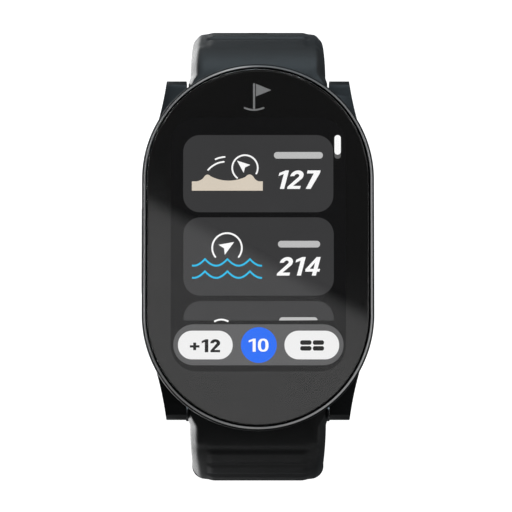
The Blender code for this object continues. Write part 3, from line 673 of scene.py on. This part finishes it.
def make_lug(x_side, y_side):
    merge = (18.85, 17.4)
    outline = [(LUG_GAP_HALF, 19.0), (15.5, 14.0), merge]
    outline += quadratic(merge, (16.75, 22.8), (LUG_TIP_X, LUG_TIP_Y), 24)
    outline.append((LUG_GAP_HALF, LUG_TIP_Y))
    side = [(14.0, 1.9)] + curves((22.0, 1.7), ((27.0, 1.45), (28.5, 1.2), 6)) + [(LUG_TIP_Y, 2.1)]
    side += [(LUG_TIP_Y, 5.7)] + curves((28.7, 6.4), ((25.5, 7.1), (22.0, 7.6), 8)) + [(14.0, 7.6)]
    lug = plate("lug", [[(x_side * x, y_side * y) for x, y in outline]], 0.0, 9.0)
    profile = side_plate("lug_side", [(y_side * y, z) for y, z in side], -20.0, 20.0)
    return boolean(lug, [profile], "INTERSECT")


def key_outline(half, tall, radius):
    return rounded_box(-half, KEY_HEIGHT - tall, half, KEY_HEIGHT + tall, radius)


def make_case():
    outer = [(18.9, 1.7), (19.25, 1.8), (19.55, 2.1), (19.7, 2.6), (19.7, 8.5), (19.6, 8.85), (19.4, 9.0)]
    case = loft("case_body", pill_rings(outer), (CASE_COAT,))
    for y_side in (1, -1):
        low_y, high_y = sorted((y_side * NOTCH_END, y_side * 40.0))
        cut(case, box("notch", (-LUG_GAP_HALF, low_y, 0), (LUG_GAP_HALF, high_y, NOTCH_TOP)))
    join(case, *[make_lug(x_side, y_side) for x_side in (1, -1) for y_side in (1, -1)])
    cut(case, plate("low_cavity", [pill(CAVITY_RADIUS, CAVITY_END)], 0.0, 7.9))
    cut(case, plate("high_cavity", [pill(CAVITY_RADIUS)], 7.7, 12.0))
    pocket = side_plate("pocket", key_outline(8.05, 1.6, 1.5), -25, -18.85)
    cut(case, pocket, side_plate("stem_hole", key_outline(3.0, 0.9, 0.6), -25, -17))
    bevel(case, 0.16, 3, 32)
    head_piece(case, "case_dark", "mid_case")


def make_bezel():
    profile = [
        (19.72, 9.3), (19.9, 9.36), (20.0, 9.55), (20.0, 11.05), (19.97, 11.15), (19.9, 11.22), (19.8, 11.26),
        (19.74, 11.28), (19.72, 11.3), (19.44, 11.57), (19.41, 11.6), (19.37, 11.58), (19.35, 11.5),
        (19.35, 9.7), (17.6, 9.7), (17.6, 9.3),
    ]
    bands = [1 if step in (8, 9) else 0 for step in range(len(profile))]
    ring = loft("bezel", pill_rings(profile, 64), (BEZEL_WALL, BEZEL_BRIGHT), True, None, bands)
    head_piece(smooth(ring, 28), "bezel_silver", "bezel_ring")


def make_glass():
    edge, steps = 0.15, 6
    profile = [(GLASS_RADIUS - 0.16, GLASS_BOTTOM), (GLASS_RADIUS - 0.1, GLASS_BOTTOM),
               (GLASS_RADIUS, GLASS_BOTTOM + 0.1)]
    for i in range(steps + 1):
        profile.append(around(GLASS_RADIUS - edge, GLASS_TOP - edge, edge, math.pi / 2 * i / steps))
    profile.append((GLASS_RADIUS - edge - 0.05, GLASS_TOP))
    glass = loft("watch_crystal", pill_rings(profile, 64), (GLASS,))
    head_piece(smooth(glass, 30), "cover_glass", "cover_glass")


def make_back():
    contacts = [(x, -13.0) for x in (-3.9, -1.3, 1.3, 3.9)]
    holes = [circle(x, y, 1.0, 32) for x, y in SCREWS] + [circle(x, y, 0.95, 32) for x, y in contacts]
    cover = plate("back_plate", [pill(18.9, 23.2)] + holes, 0.0, 1.4, BACK)
    sinks = [turned("sink", (x, y, -1.0), (0, 0, 1), ((0, 1.65), (1.75, 1.65))) for x, y in SCREWS]
    line = plate("line", [pill(16.9, 21.2), pill(16.5, 20.8)], -1.0, 0.16)
    cut(cover, line, *sinks)
    bevel(cover, 0.14, 2, 50)
    head_piece(cover, "back_plastic", "back_cover")
    head = ((0.10, 0.0), (0.10, 1.2), (0.16, 1.31), (0.24, 1.35), (0.45, 1.35), (0.45, 0.7), (4.0, 0.7),
            (4.0, 0))
    for i, (x, y) in enumerate(SCREWS, 1):
        screw = turned(f"cover_screw_{i}", (x, y, 0), (0, 0, 1), head, STEEL)
        cut(screw, box("drive", (x - 0.95, y - 0.16, 0), (x + 0.95, y + 0.16, 0.28)))
        head_piece(smooth(screw, 30), "steel", f"back_cover_screw_{i}")
    dome = ((0.08, 0.0), (0.09, 0.2), (0.14, 0.42), (0.24, 0.58), (0.4, 0.65), (1.65, 0.65), (1.65, 0))
    for i, (x, y) in enumerate(contacts, 1):
        pin = turned(f"contact_pin_{i}", (x, y, 0), (0, 0, 1), dome, GOLD)
        head_piece(pin, "contact_gold", f"charging_contact_{i}")


def make_key():
    key = side_plate("key_cap", key_outline(7.75, 1.3, 1.28), -KEY_OUT, -19.4, CASE_COAT)
    bevel(key, 0.34, 4, 60)
    join(key, side_plate("stem", key_outline(2.7, 0.6, 0.3), -19.6, -16.5))
    head_piece(smooth(key, 40), "case_dark", "side_key", body="key")


# ---- the screen


DIGIT_WIDTHS = {"0": 0.60, "1": 0.40, "2": 0.58, "4": 0.66, "7": 0.58, "+": 0.58}


def digit_outlines(sign, weight):
    """Closed outlines of a plain digit one unit high, with the width of its strokes."""
    w = weight
    if sign == "1":
        return [[(0.40 - w, 0), (0.40, 0), (0.40, 1), (0.40 - 0.8 * w, 1), (0, 0.86), (0, 0.86 - 0.85 * w),
                 (0.40 - w, 1 - w)]]
    if sign == "7":
        return [[(0, 1), (0.58, 1), (0.58, 1 - 0.8 * w), (0.16 + w, 0), (0.13, 0), (0.50 - w, 1 - 0.85 * w),
                 (0, 1 - 0.85 * w)]]
    if sign == "4":
        bar = 0.21
        outside = [(0.55 - w, 0), (0.55, 0), (0.55, bar), (0.66, bar), (0.66, bar + 0.8 * w),
                   (0.55, bar + 0.8 * w), (0.55, 1), (0.55 - w * 0.95, 1), (0, bar + 0.7 * w), (0.02, bar),
                   (0.55 - w, bar)]
        return [outside, [(0.55 - w, bar + 0.8 * w), (0.55 - w, 1 - 1.55 * w), (0.19, bar + 0.8 * w)]]
    if sign == "+":
        m, r, u = 0.45, 0.29, 0.42 * w
        return [[(r - u, m - r), (r + u, m - r), (r + u, m - u), (2 * r, m - u), (2 * r, m + u),
                 (r + u, m + u), (r + u, m + r), (r - u, m + r), (r - u, m + u), (0, m + u), (0, m - u),
                 (r - u, m - u)]]
    if sign == "0":
        rings = []
        for inset in (0, w):
            rx, ry = 0.30 - inset, 0.5 - inset * 0.85
            turns = [2 * math.pi * i / 48 for i in range(48)]
            rings.append([(0.30 + rx * math.copysign(abs(math.cos(t)) ** 0.8, math.cos(t)),
                           0.5 + ry * math.copysign(abs(math.sin(t)) ** 0.8, math.sin(t))) for t in turns])
        return rings
    outer_arc = arc(0.29, 0.705, 0.295, 184, -36, 28)
    inner_arc = arc(0.29, 0.705, 0.295 - w, -36, 184, 24)
    return [outer_arc + [(0.235, 0.85 * w), (0.58, 0.85 * w), (0.58, 0), (0, 0), (0, 0.62 * w)] + inner_arc]


def make_number(name, signs, left, right, low, high, mat, weight, slant, level):
    """A number fitted to a place on the screen, from plain digits with a stroke weight and a slant."""
    gap = 0.13
    outlines = []
    at = 0.0
    for sign in signs:
        shapes = digit_outlines(sign, weight)
        outlines += [[(at + x + slant * y, y) for x, y in outline] for outline in shapes]
        at += DIGIT_WIDTHS[sign] + gap
    across = [x for outline in outlines for x, _ in outline]
    first = min(across)
    wide = max(across) - first
    fitted = [[(left + (x - first) / wide * (right - left), low + y * (high - low)) for x, y in o]
              for o in outlines]
    return plate(name, fitted, LAYERS[level], LAYERS[level] + SHEET, mat)


SHEET = 0.02
LAYERS = [9.92 + 0.03 * i for i in range(5)]


def merged(name, outlines, low, high, mat):
    """Flat shapes between two heights in one mesh, each from its own outlines."""
    bm = bmesh.new()
    pieces = [plate(f"{name}_{i}", outline, low, high) for i, outline in enumerate(outlines)]
    for piece in pieces:
        bm.from_mesh(piece.data)
        bpy.data.objects.remove(piece, do_unlink=True)
    return add_object(name, mesh_from(name, bm), mat)


def arrow_head(tip, turn, reach):
    """A map arrow with a notched back, from its tip, the way that it points and the length of its edges."""
    found = [tip]
    for swing, share in ((22, 1.0), (0, 0.75), (-22, 1.0)):
        found.append(around(*tip, reach * share, math.radians(turn + 180 + swing)))
    return found


def wave(x0, x1, crest, period, top, dip):
    """The outline of a row of water waves with pointed crests, one of them at the given place."""
    upper, lower = [], []
    steps = 120
    for i in range(steps + 1):
        x = x0 + (x1 - x0) * i / steps
        turn = math.pi * (x - crest) / period
        y = top - dip * abs(math.sin(turn)) ** 0.9
        half = 0.16 * (1 + 0.35 * math.cos(turn) ** 2)
        upper.append((x, y + half))
        lower.append((x, y - half))
    return upper + lower[::-1]


def make_screen():
    """The lit screen: cards with icons and numerals, and the dock with its buttons."""
    tones = (("card", (56, 56, 57), 0.04), ("dock", (90, 90, 91), 0.04), ("shade", (14, 14, 15), 0.04),
             ("pale", (236, 236, 236), 0.01), ("white", (250, 250, 250), 0.01), ("dim", (92, 92, 92), 0.04),
             ("blue", (24, 106, 242), 0.02), ("ink", (2, 2, 2), 0.04), ("sand", (214, 203, 187), 0.03),
             ("water", (34, 182, 226), 0.03), ("label", (188, 188, 188), 0.02))
    lit = {key: lit_material("screen_" + key, colour, vary) for key, colour, vary in tones}
    third = [(-12.8, -12.7)] + arc(-9.9, -12.25, 2.9, 180, 90, 10) + arc(10.1, -12.25, 2.9, 90, 0, 10)
    third.append((13.0, -12.7))
    cards = [[rounded_box(-12.9, 6.0, 13.0, 19.4, 2.9)], [rounded_box(-12.85, -8.42, 13.05, 5.12, 2.9)]]
    pills = [[rounded_box(-13.75, -19.4, -4.35, -14.47, 2.4)], [rounded_box(4.55, -19.4, 13.95, -14.47, 2.4)]]
    lines = [[stroke(arc(-2.24, 13.7, 2.2, -27, 232), 0.28)]]
    lines.append([stroke(arc(-5.33, -0.17, 2.55, -38, 218), 0.30)])
    lines.append([stroke(quadratic((-8.8, 13.1), (-7.6, 14.6), (-5.9, 14.75), 12), 0.28)])
    lines.append([stroke(quadratic((-7.5, 15.1), (-6.8, 15.5), (-5.75, 15.6), 8), 0.28)])
    lines += [[arrow_head((-3.6, 14.95), 140, 2.4)], [arrow_head((-4.1, 0.85), 32, 2.75)]]
    lines.append([stroke(arc(-6.3, -14.85, 2.3, 58, 122, 14), 0.30, False)])
    labels = [[rounded_box(2.75, 15.3, 11.2, 16.45, 0.56)], [rounded_box(3.44, -0.1, 10.7, 1.05, 0.56)]]
    labels.append([[(3.6, -12.7)] + arc(4.2, -12.7, 0.55, 175, 90, 8) + arc(9.7, -12.7, 0.55, 90, 5, 8)])
    dunes = [(-11.4, 9.74), (-11.4, 11.35)]
    dunes += curves((-10.6, 11.35), ((-9.7, 11.5), (-9.3, 12.1), 8), ((-8.8, 12.9), (-8.1, 12.2), 8),
                    ((-5.2, 10.8), (-2.2, 12.1), 14), ((-1.4, 13.0), (-0.75, 12.1), 8),
                    ((-0.4, 11.45), (0.2, 11.35), 6))
    dunes += [(0.83, 11.35), (0.83, 9.74)]
    waves = [[wave(-11.35, 0.7, -9.13, 3.87, top, 1.15)] for top in (-2.1, -4.2)]
    dashes = [[rounded_box(x0, y0, x1, y1, 0.36)] for x0, x1 in ((7.25, 9.2), (9.42, 11.35))
              for y0, y1 in ((-16.9, -16.12), (-17.9, -17.12))]
    sheets = (
        ("cards", cards + [[third]], 0, "card"),
        ("dock_shade", [[rounded_box(-14.6, -21.4, 14.75, -14.3, 3.5)]], 1, "shade"),
        ("dock", [[rounded_box(-14.55, -20.42, 14.7, -13.36, 3.5)]], 2, "dock"),
        ("buttons", pills, 3, "pale"),
        ("hole_disc", [[circle(0.14, -16.94, 3.08, 64)]], 3, "blue"),
        ("scroll", [[rounded_box(13.2, 16.0, 14.3, 19.4, 0.54)]], 1, "white"),
        ("scroll_rest", [[rounded_box(13.2, 15.3, 14.3, 16.8, 0.5)]], 0, "dim"),
        ("lines", lines, 2, "white"),
        ("labels", labels, 2, "label"),
        ("sand", [[dunes]], 3, "sand"),
        ("water", waves, 2, "water"),
        ("dashes", dashes, 4, "ink"),
    )
    made = [merged("screen_" + name, shapes, LAYERS[level], LAYERS[level] + SHEET, lit[tone])
            for name, shapes, level, tone in sheets]
    numbers = (
        ("screen_number_upper", "127", 3.56, 10.8, 10.05, 13.25, lit["white"], 0.19, 0.22, 2),
        ("screen_number_lower", "214", 3.2, 10.8, -4.95, -1.75, lit["white"], 0.19, 0.22, 2),
        ("screen_hole_number", "10", -1.6, 1.8, -18.08, -15.84, lit["white"], 0.17, 0.0, 4),
        ("screen_score", "+12", -11.7, -6.5, -18.18, -15.94, lit["ink"], 0.21, 0.0, 4),
    )
    made += [make_number(*number) for number in numbers]
    for piece in made:
        head_piece(piece, "screen")


def make_mask():
    """Black print under the glass, open over the screen, with a small flag printed on it that also glows
    faintly: a painted glow in place of lamp light on the print.
    """
    window = rounded_box(-15.0, -21.5, 15.1, 22.4, 4.5)
    mask = plate("glass_print", [pill(19.0), window], 10.1, 10.14, MASK)
    # The flag is grey print with a faint emission added: painted light, standing in for lamp light falling on
    # the print under the glass.
    flag_print_and_glow_mat = surface("flag_print_and_painted_glow", (0.60, 0.60, 0.60), 0.5, 0.0, 0.05, 1500.0, 0.0,
                       Emission_Color=(1, 1, 1, 1), Emission_Strength=0.13)
    pole = rounded_box(-0.85, 23.9, -0.5, 28.4, 0.16)
    pennant = [(-0.36, 28.3), (2.3, 27.2), (-0.36, 26.1)]
    cup = stroke(curves((-2.3, 24.1), ((-0.7, 23.4), (0.95, 24.1), 12)), 0.3)
    flag = merged("flag_print_and_painted_glow", [[pole], [pennant], [cup]], 10.145, 10.16, flag_print_and_glow_mat)
    head_piece(mask, "cover_glass")
    head_piece(flag, "cover_glass")


# ---- the strap and its fittings


def bore_head(piece, side):
    bore = turned("bore", (-20, side * BAR_Y, BAR_Z), (1, 0, 0), ((0, BAR_BORE), (40, BAR_BORE)))
    knob_slot = box("knob_slot", (7.2, side * BAR_Y - 0.95, BAR_Z - 5.0), (10.8, side * BAR_Y + 0.95, BAR_Z))
    cut(piece, bore, knob_slot)


def slot_cutter(along):
    """A through slot with round ends and a flared mouth."""
    inner = strap_size(along, UPPER_LENGTH, True)[2]
    rings = []
    for height, grow in ((0.6, 0.3), (-0.32, 0.3), (-0.42, 0.16), (-0.62, 0.04), (-0.8, 0), (0.5 - inner, 0),
                         (0.15 - inner, 0.1), (-inner, 0.3), (-inner - 1.0, 0.3)):
        half, end = SLOT_WIDTH / 2 - 0.05 + grow, SLOT_LENGTH / 2 - 0.05 + grow
        outline = rounded_box(-half, -end, half, end, end * 0.98, 8)
        rings.append([Vector((x, y, height)) * MM for x, y in outline])
    return place_on_strap(loft("slot", rings), 1, along)


def finish_strap(piece, side, at, stands):
    """Shades a strap piece, bakes its placement into its mesh and stands it for CAD nodes."""
    smooth(piece, 38)
    middle_of(side, at - BEND_HALF)
    middle_of(side, at + BEND_HALF)
    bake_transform(piece)
    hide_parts(*stands)


def make_upper_strap():
    seams = (-HUB_RADIUS, *UPPER_SEAMS, UPPER_LENGTH)
    stands = (("upper_strap_root", "upper_strap_mid"), ("upper_strap_bend",), ("upper_strap_tail",))
    names = ("upper_strap_near", "upper_strap_middle", "upper_strap_far")
    slots = [SLOT_FIRST + SLOT_PITCH * i for i in range(SLOT_COUNT)]
    for i, name in enumerate(names):
        piece = strap_piece(name, 1, seams[i], seams[i + 1], UPPER_LENGTH, True, RUBBER)
        if i == 0:
            bore_head(piece, 1)
        cut(piece, *[slot_cutter(at) for at in slots if seams[i] < at < seams[i + 1]])
        finish_strap(piece, 1, UPPER_BENDS[i], stands[i])


def buckle_axis():
    point, _, outward = strap_frame(-1, LOWER_LENGTH)
    centre = point - outward * BUCKLE_HUB
    return centre.y, centre.z


def make_lower_strap():
    seams = (-HUB_RADIUS, *LOWER_SEAMS, LOWER_LENGTH + BUCKLE_HUB)
    stands = (("lower_strap_root", "lower_strap_mid"), ("lower_strap_end",))
    for i, name in enumerate(("lower_strap_near", "lower_strap_far")):
        piece = strap_piece(name, -1, seams[i], seams[i + 1], LOWER_LENGTH, False, RUBBER)
        if i == 0:
            bore_head(piece, -1)
        else:
            y, z = buckle_axis()
            hole = BUCKLE_BAR_RADIUS + 0.3
            slot = box("tongue_slot", (-TONGUE_SLOT_HALF, -4.3, -8), (TONGUE_SLOT_HALF, 8, 8))
            cut(piece, turned("bore", (-20, y, z), (1, 0, 0), ((0, hole), (40, hole))),
                place_on_strap(slot, -1, LOWER_LENGTH, BUCKLE_HUB))
        finish_strap(piece, -1, LOWER_BENDS[i], stands[i])


def make_bars():
    for word, side in (("upper", 1), ("lower", -1)):
        y = side * BAR_Y
        tube = ((0, 0), (0, 0.45), (0.1, 0.55), (1.9, 0.55), (1.9, 0.8), (2.0, 0.9), (3.6, 0.9), (3.7, 0.8),
                (3.9, 0.8), (4.0, 0.9), (24.5, 0.9), (24.5, 0))
        bar = turned(word + "_bar", (-13.5, y, BAR_Z), (1, 0, 0), tube, STEEL)
        cut(bar, turned("bore", (5.0, y, BAR_Z), (1, 0, 0), ((0, 0.65), (7, 0.65))))
        cut(bar, box("knob_way", (6.5, y - 0.6, BAR_Z - 2.0), (12.0, y + 0.6, BAR_Z)))
        smooth(bar, 30)
        stands_for(bar, word + "_root", "steel", word + "_spring_bar")
        shaft = ((0, 0), (0, 0.32), (4.6, 0.32), (4.6, 0.55), (6.55, 0.55), (6.65, 0.45), (6.65, 0))
        pin = turned(word + "_pin", (6.9, y, BAR_Z), (1, 0, 0), shaft, STEEL)
        knob = ((0, 0), (0, 0.3), (1.6, 0.3), (1.65, 0.5), (1.75, 0.6), (2.1, 0.6), (2.2, 0.45), (2.2, 0))
        join(pin, turned("knob", (9.2, y, BAR_Z), (0, 0, -1), knob))
        smooth(pin, 30)
        stands_for(pin, word + "_pin", "steel", word + "_release_pin")


def make_buckle():
    y, z = buckle_axis()
    half = BUCKLE_THICK / 2
    tilt = math.asin((z - 0.04) / math.hypot(BUCKLE_REACH, half)) - math.atan2(half, BUCKLE_REACH)
    place = Matrix.Translation((0, y * MM, z * MM)) @ Matrix.Rotation(-tilt, 4, "X")
    outer = rounded_box(-BUCKLE_OUTER_HALF, -1.2, BUCKLE_OUTER_HALF, BUCKLE_REACH, 3.2, 10)
    inner = rounded_box(-BUCKLE_INNER_HALF, -3.0, BUCKLE_INNER_HALF, BUCKLE_REACH - 3.0, 1.6, 8)
    loop = plate("buckle_loop", [outer], -half, half, BUCKLE_STEEL)
    cut(loop, plate("window", [inner], -5, 5))
    eyes = []
    for x_side in (1, -1):
        ends = sorted((x_side * BUCKLE_INNER_HALF, x_side * BUCKLE_OUTER_HALF))
        eyes.append(turned("eye", (ends[0], 0, 0), (1, 0, 0), ((0, 1.7), (ends[1] - ends[0], 1.7))))
    join(loop, *eyes)
    hole = BUCKLE_BAR_RADIUS + 0.3
    bore_half = BUCKLE_OUTER_HALF - 0.7
    cut(loop, turned("bore", (-bore_half, 0, 0), (1, 0, 0), ((0, hole), (2 * bore_half, hole))))
    cut(loop, box("tongue_rest", (-1.7, BUCKLE_REACH - 4.0, -half - 1), (1.7, BUCKLE_REACH + 2, 0.1)))
    bevel(loop, 0.35, 3, 40)
    bar_half = BUCKLE_OUTER_HALF - 1.0
    long = 2 * bar_half
    ends = ((0, 0), (0, 0.6), (0.12, 0.75), (long - 0.12, 0.75), (long, 0.6), (long, 0))
    bar = turned("buckle_rod", (-bar_half, 0, 0), (1, 0, 0), ends, STEEL)
    eye_profile = ((0, 1.5), (0.15, 1.65), (2 * TONGUE_HALF - 0.15, 1.65), (2 * TONGUE_HALF, 1.5))
    tongue = turned("buckle_pin", (-TONGUE_HALF, 0, 0), (1, 0, 0), eye_profile, BUCKLE_STEEL)
    route = curves((1.0, 0.0), ((3.4, -0.15), (6.0, -0.45), 6),
                   ((BUCKLE_REACH - 3.6, -0.75), (BUCKLE_REACH - 0.4, -0.75), 8))
    blade = side_plate("blade", stroke(route, 0.9), -TONGUE_HALF + 0.05, TONGUE_HALF - 0.05)
    bevel(blade, 0.2, 2, 60)
    join(tongue, blade)
    cut(tongue, turned("bore", (-5, 0, 0), (1, 0, 0), ((0, hole), (10, hole))))
    smooth(tongue, 40)
    for piece in (loop, bar, tongue):
        piece.data.transform(place)
    stands_for(loop, "buckle", "buckle_steel", "buckle_frame")
    stands_for(bar, "buckle", "steel", "buckle_bar")
    stands_for(tongue, "tongue", "buckle_steel", "buckle_tongue")


def make_keeper(name, along, body, node):
    half, _, inner = strap_size(along, LOWER_LENGTH, False)
    room = STRAP_THIN + 0.3
    wide = half + 0.35
    inside = rounded_box(-wide, -inner - KEEPER_SLACK, wide, room, 1.5)
    outside = rounded_box(-wide - KEEPER_WALL, -inner - KEEPER_SLACK - KEEPER_WALL, wide + KEEPER_WALL,
                          room + KEEPER_WALL, 2.4)
    keeper = plate(name, [outside, inside], -KEEPER_WIDTH / 2, KEEPER_WIDTH / 2, LOOP_RUBBER)
    bevel(keeper, 0.42, 4, 60)
    keeper.data.transform(Matrix.Rotation(math.radians(90), 4, "X"))
    place_on_strap(keeper, -1, along)
    stands_for(keeper, body, "strap_rubber", node)


# ---- the studio

CAMERA_DISTANCE = 0.7
CAMERA_TILT = math.radians(5.3)
CAMERA_TARGET = Vector((-0.00034, -0.00168, 0.070))
VIEW_WIDTH = 0.088
PANEL_EDGE = ((-19.4, 10.1), (19.3, -10.5))
PANEL_FADE = 0.006
PANEL_GLOW = 0.39
PANEL_HEIGHT = 0.5
GLASS_Z = 0.0702
KEY_LIGHT_TARGET = Vector((0, 0.02, 0.06))
FLOOR_RAMP_HALF = 0.4
FLOOR_STOPS = ((-0.24, 0.3), (0.03, 0.02), (-0.17, 9.0), (-0.08, 9.0), (-0.02, 0.15))
FLOOR_BAND_Y, FLOOR_BAND_HALF, FLOOR_BAND_END = 0.025, 0.06, 0.06 * 2.4
FLOOR_OUTSIDE_BAND, FLOOR_TO_CAMERA = 0.1, 1.1
HORIZON_GLOW = 0.60
MIDDLE_GLOW = 0.15
ZENITH_GLOW = 0.05
SURROUND_LEAN = (0.5, 0.22, 0)


def make_floor():
    """White to the camera. As a light it is dim, with a bright band to the left of the watch."""
    mat, tree, shader = new_material("floor_white", Base_Color=(0.3, 0.3, 0.3, 1),
                                     Emission_Color=(1, 1, 1, 1))
    _, axes = position(tree, "Object")
    across = add_node(tree, "MapRange", Value=axes["X"], From_Min=-FLOOR_RAMP_HALF,
                      From_Max=FLOOR_RAMP_HALF)
    glow = add_node(tree, "ValToRGB", Fac=across.outputs["Result"])
    stops = glow.color_ramp.elements
    for number, (x, level) in enumerate(FLOOR_STOPS):
        place = 0.5 + x / (2 * FLOOR_RAMP_HALF)
        stop = stops[number] if number < 2 else stops.new(place)
        stop.position = place
        stop.color = (level, level, level, 1)
    shifted = add_node(tree, "Math", ((0, axes["Y"]), (1, FLOOR_BAND_Y)), operation="SUBTRACT")
    from_middle = add_node(tree, "Math", ((0, shifted.outputs[0]),), operation="ABSOLUTE")
    fade = add_node(tree, "MapRange", interpolation_type="SMOOTHSTEP", From_Min=FLOOR_BAND_HALF,
                    From_Max=FLOOR_BAND_END, To_Min=1.0, To_Max=FLOOR_OUTSIDE_BAND,
                    Value=from_middle.outputs[0])
    level = add_node(tree, "Math", ((0, glow.outputs["Color"]), (1, fade.outputs["Result"])),
                     operation="MULTIPLY")
    seen = add_node(tree, "LightPath").outputs["Is Camera Ray"]
    pick = add_node(tree, "Mix", ((0, seen), (2, level.outputs[0]), (3, FLOOR_TO_CAMERA)),
                    data_type="FLOAT")
    put(shader, Emission_Strength=pick.outputs[0])
    bm = bmesh.new()
    bmesh.ops.create_grid(bm, x_segments=1, y_segments=1, size=4.0)
    floor = add_object("floor", mesh_from("floor", bm), mat)
    floor.location.z = -0.0005
    floor.visible_transmission = False


def make_surround():
    """Pale to the camera. As a light it is dim overhead and brighter at the horizon, most of all one way."""
    world = bpy.data.worlds.new("surround")
    bpy.context.scene.world = world
    world.use_nodes = True
    tree = world.node_tree
    spot, axes = position(tree, "Generated")
    ramp = add_node(tree, "ValToRGB", Fac=axes["Z"])
    stops = ramp.color_ramp.elements
    stops[1].position = 0.75
    stops.new(0.4)
    for stop, glow in zip(stops, (HORIZON_GLOW, MIDDLE_GLOW, ZENITH_GLOW)):
        stop.color = (glow, glow, glow, 1)
    lean = add_node(tree, "VectorMath", ((0, spot), (1, SURROUND_LEAN)), operation="DOT_PRODUCT")
    level = add_node(tree, "Math", ((0, lean.outputs["Value"]), (1, 1.0)), operation="ADD")
    scaled = add_node(tree, "VectorMath", ((0, ramp.outputs["Color"]),), operation="SCALE",
                      Scale=level.outputs[0])
    seen = add_node(tree, "LightPath").outputs["Is Camera Ray"]
    mix = add_node(tree, "Mix", ((0, seen), (6, scaled.outputs["Vector"]), (7, (1, 1, 1, 1))),
                   data_type="RGBA")
    put(tree.nodes["Background"], Color=mix.outputs[2])


def make_panel():
    """A soft panel overhead whose mirror image lies across the lower left of the glass."""
    mat, tree, shader = new_material("panel_glow", Base_Color=(0, 0, 0, 1), Emission_Color=(1, 1, 1, 1))
    _, axes = position(tree, "Object")
    fade = add_node(tree, "MapRange", interpolation_type="SMOOTHSTEP", Value=axes["Y"],
                    From_Min=0.0, From_Max=PANEL_FADE, To_Max=PANEL_GLOW)
    put(shader, Emission_Strength=fade.outputs["Result"])
    bm = bmesh.new()
    corners = ((-0.13, 0), (0.13, 0), (0.13, 0.14), (-0.13, 0.14))
    bm.faces.new([bm.verts.new((x, y, 0)) for x, y in corners])
    panel = add_object("panel", mesh_from("panel", bm), mat)
    reach = PANEL_HEIGHT / (CAMERA_DISTANCE * math.cos(CAMERA_TILT))
    eye = Vector((CAMERA_TARGET[0], CAMERA_TARGET[1] - CAMERA_DISTANCE * math.sin(CAMERA_TILT)))
    spots = [Vector(spot) * MM for spot in PANEL_EDGE]
    ends = [spot + (spot - eye) * reach for spot in spots]
    along = ends[1] - ends[0]
    panel.location = (*((ends[0] + ends[1]) / 2), GLASS_Z + PANEL_HEIGHT)
    panel.rotation_euler = (0, 0, math.atan2(along.y, along.x) + math.pi)
    panel.visible_camera = panel.visible_shadow = panel.visible_diffuse = False


def make_light():
    """One soft key light from beyond 12 o'clock."""
    light = bpy.data.lights.new("key_from_twelve", "AREA")
    light.shape = "RECTANGLE"
    light.size, light.size_y = 0.5, 0.35
    light.energy = 1.9
    light.color = (0.74, 0.90, 1.0)
    key = add_object("key_from_twelve", light)
    key.location = (0.05, 0.60, 0.50)
    key.rotation_euler = (KEY_LIGHT_TARGET - key.location).to_track_quat("-Z", "Y").to_euler()
    key.visible_camera = key.visible_transmission = False


def make_camera():
    camera = bpy.data.cameras.new("camera")
    camera.sensor_width = 36.0
    camera.lens = camera.sensor_width * CAMERA_DISTANCE / VIEW_WIDTH
    camera.clip_start = 0.01
    camera.clip_end = 20.0
    thing = add_object("camera", camera)
    back = Vector((0, -math.sin(CAMERA_TILT), math.cos(CAMERA_TILT)))
    thing.location = CAMERA_TARGET + back * CAMERA_DISTANCE
    thing.rotation_euler = (CAMERA_TILT, 0, 0)
    bpy.context.scene.camera = thing


paint_cad_nodes()
make_case()
make_bezel()
make_glass()
make_back()
make_key()
make_screen()
make_mask()
make_upper_strap()
make_lower_strap()
make_bars()
make_buckle()
make_keeper("keeper_fixed", FIXED_KEEPER_AT, "lower_end", "fixed_keeper")
make_keeper("keeper_sliding", SLIDING_KEEPER_AT, "keeper_loop", "sliding_keeper")
make_floor()
make_surround()
make_panel()
make_light()
make_camera()

bpy.context.scene.view_settings.view_transform = "Standard"
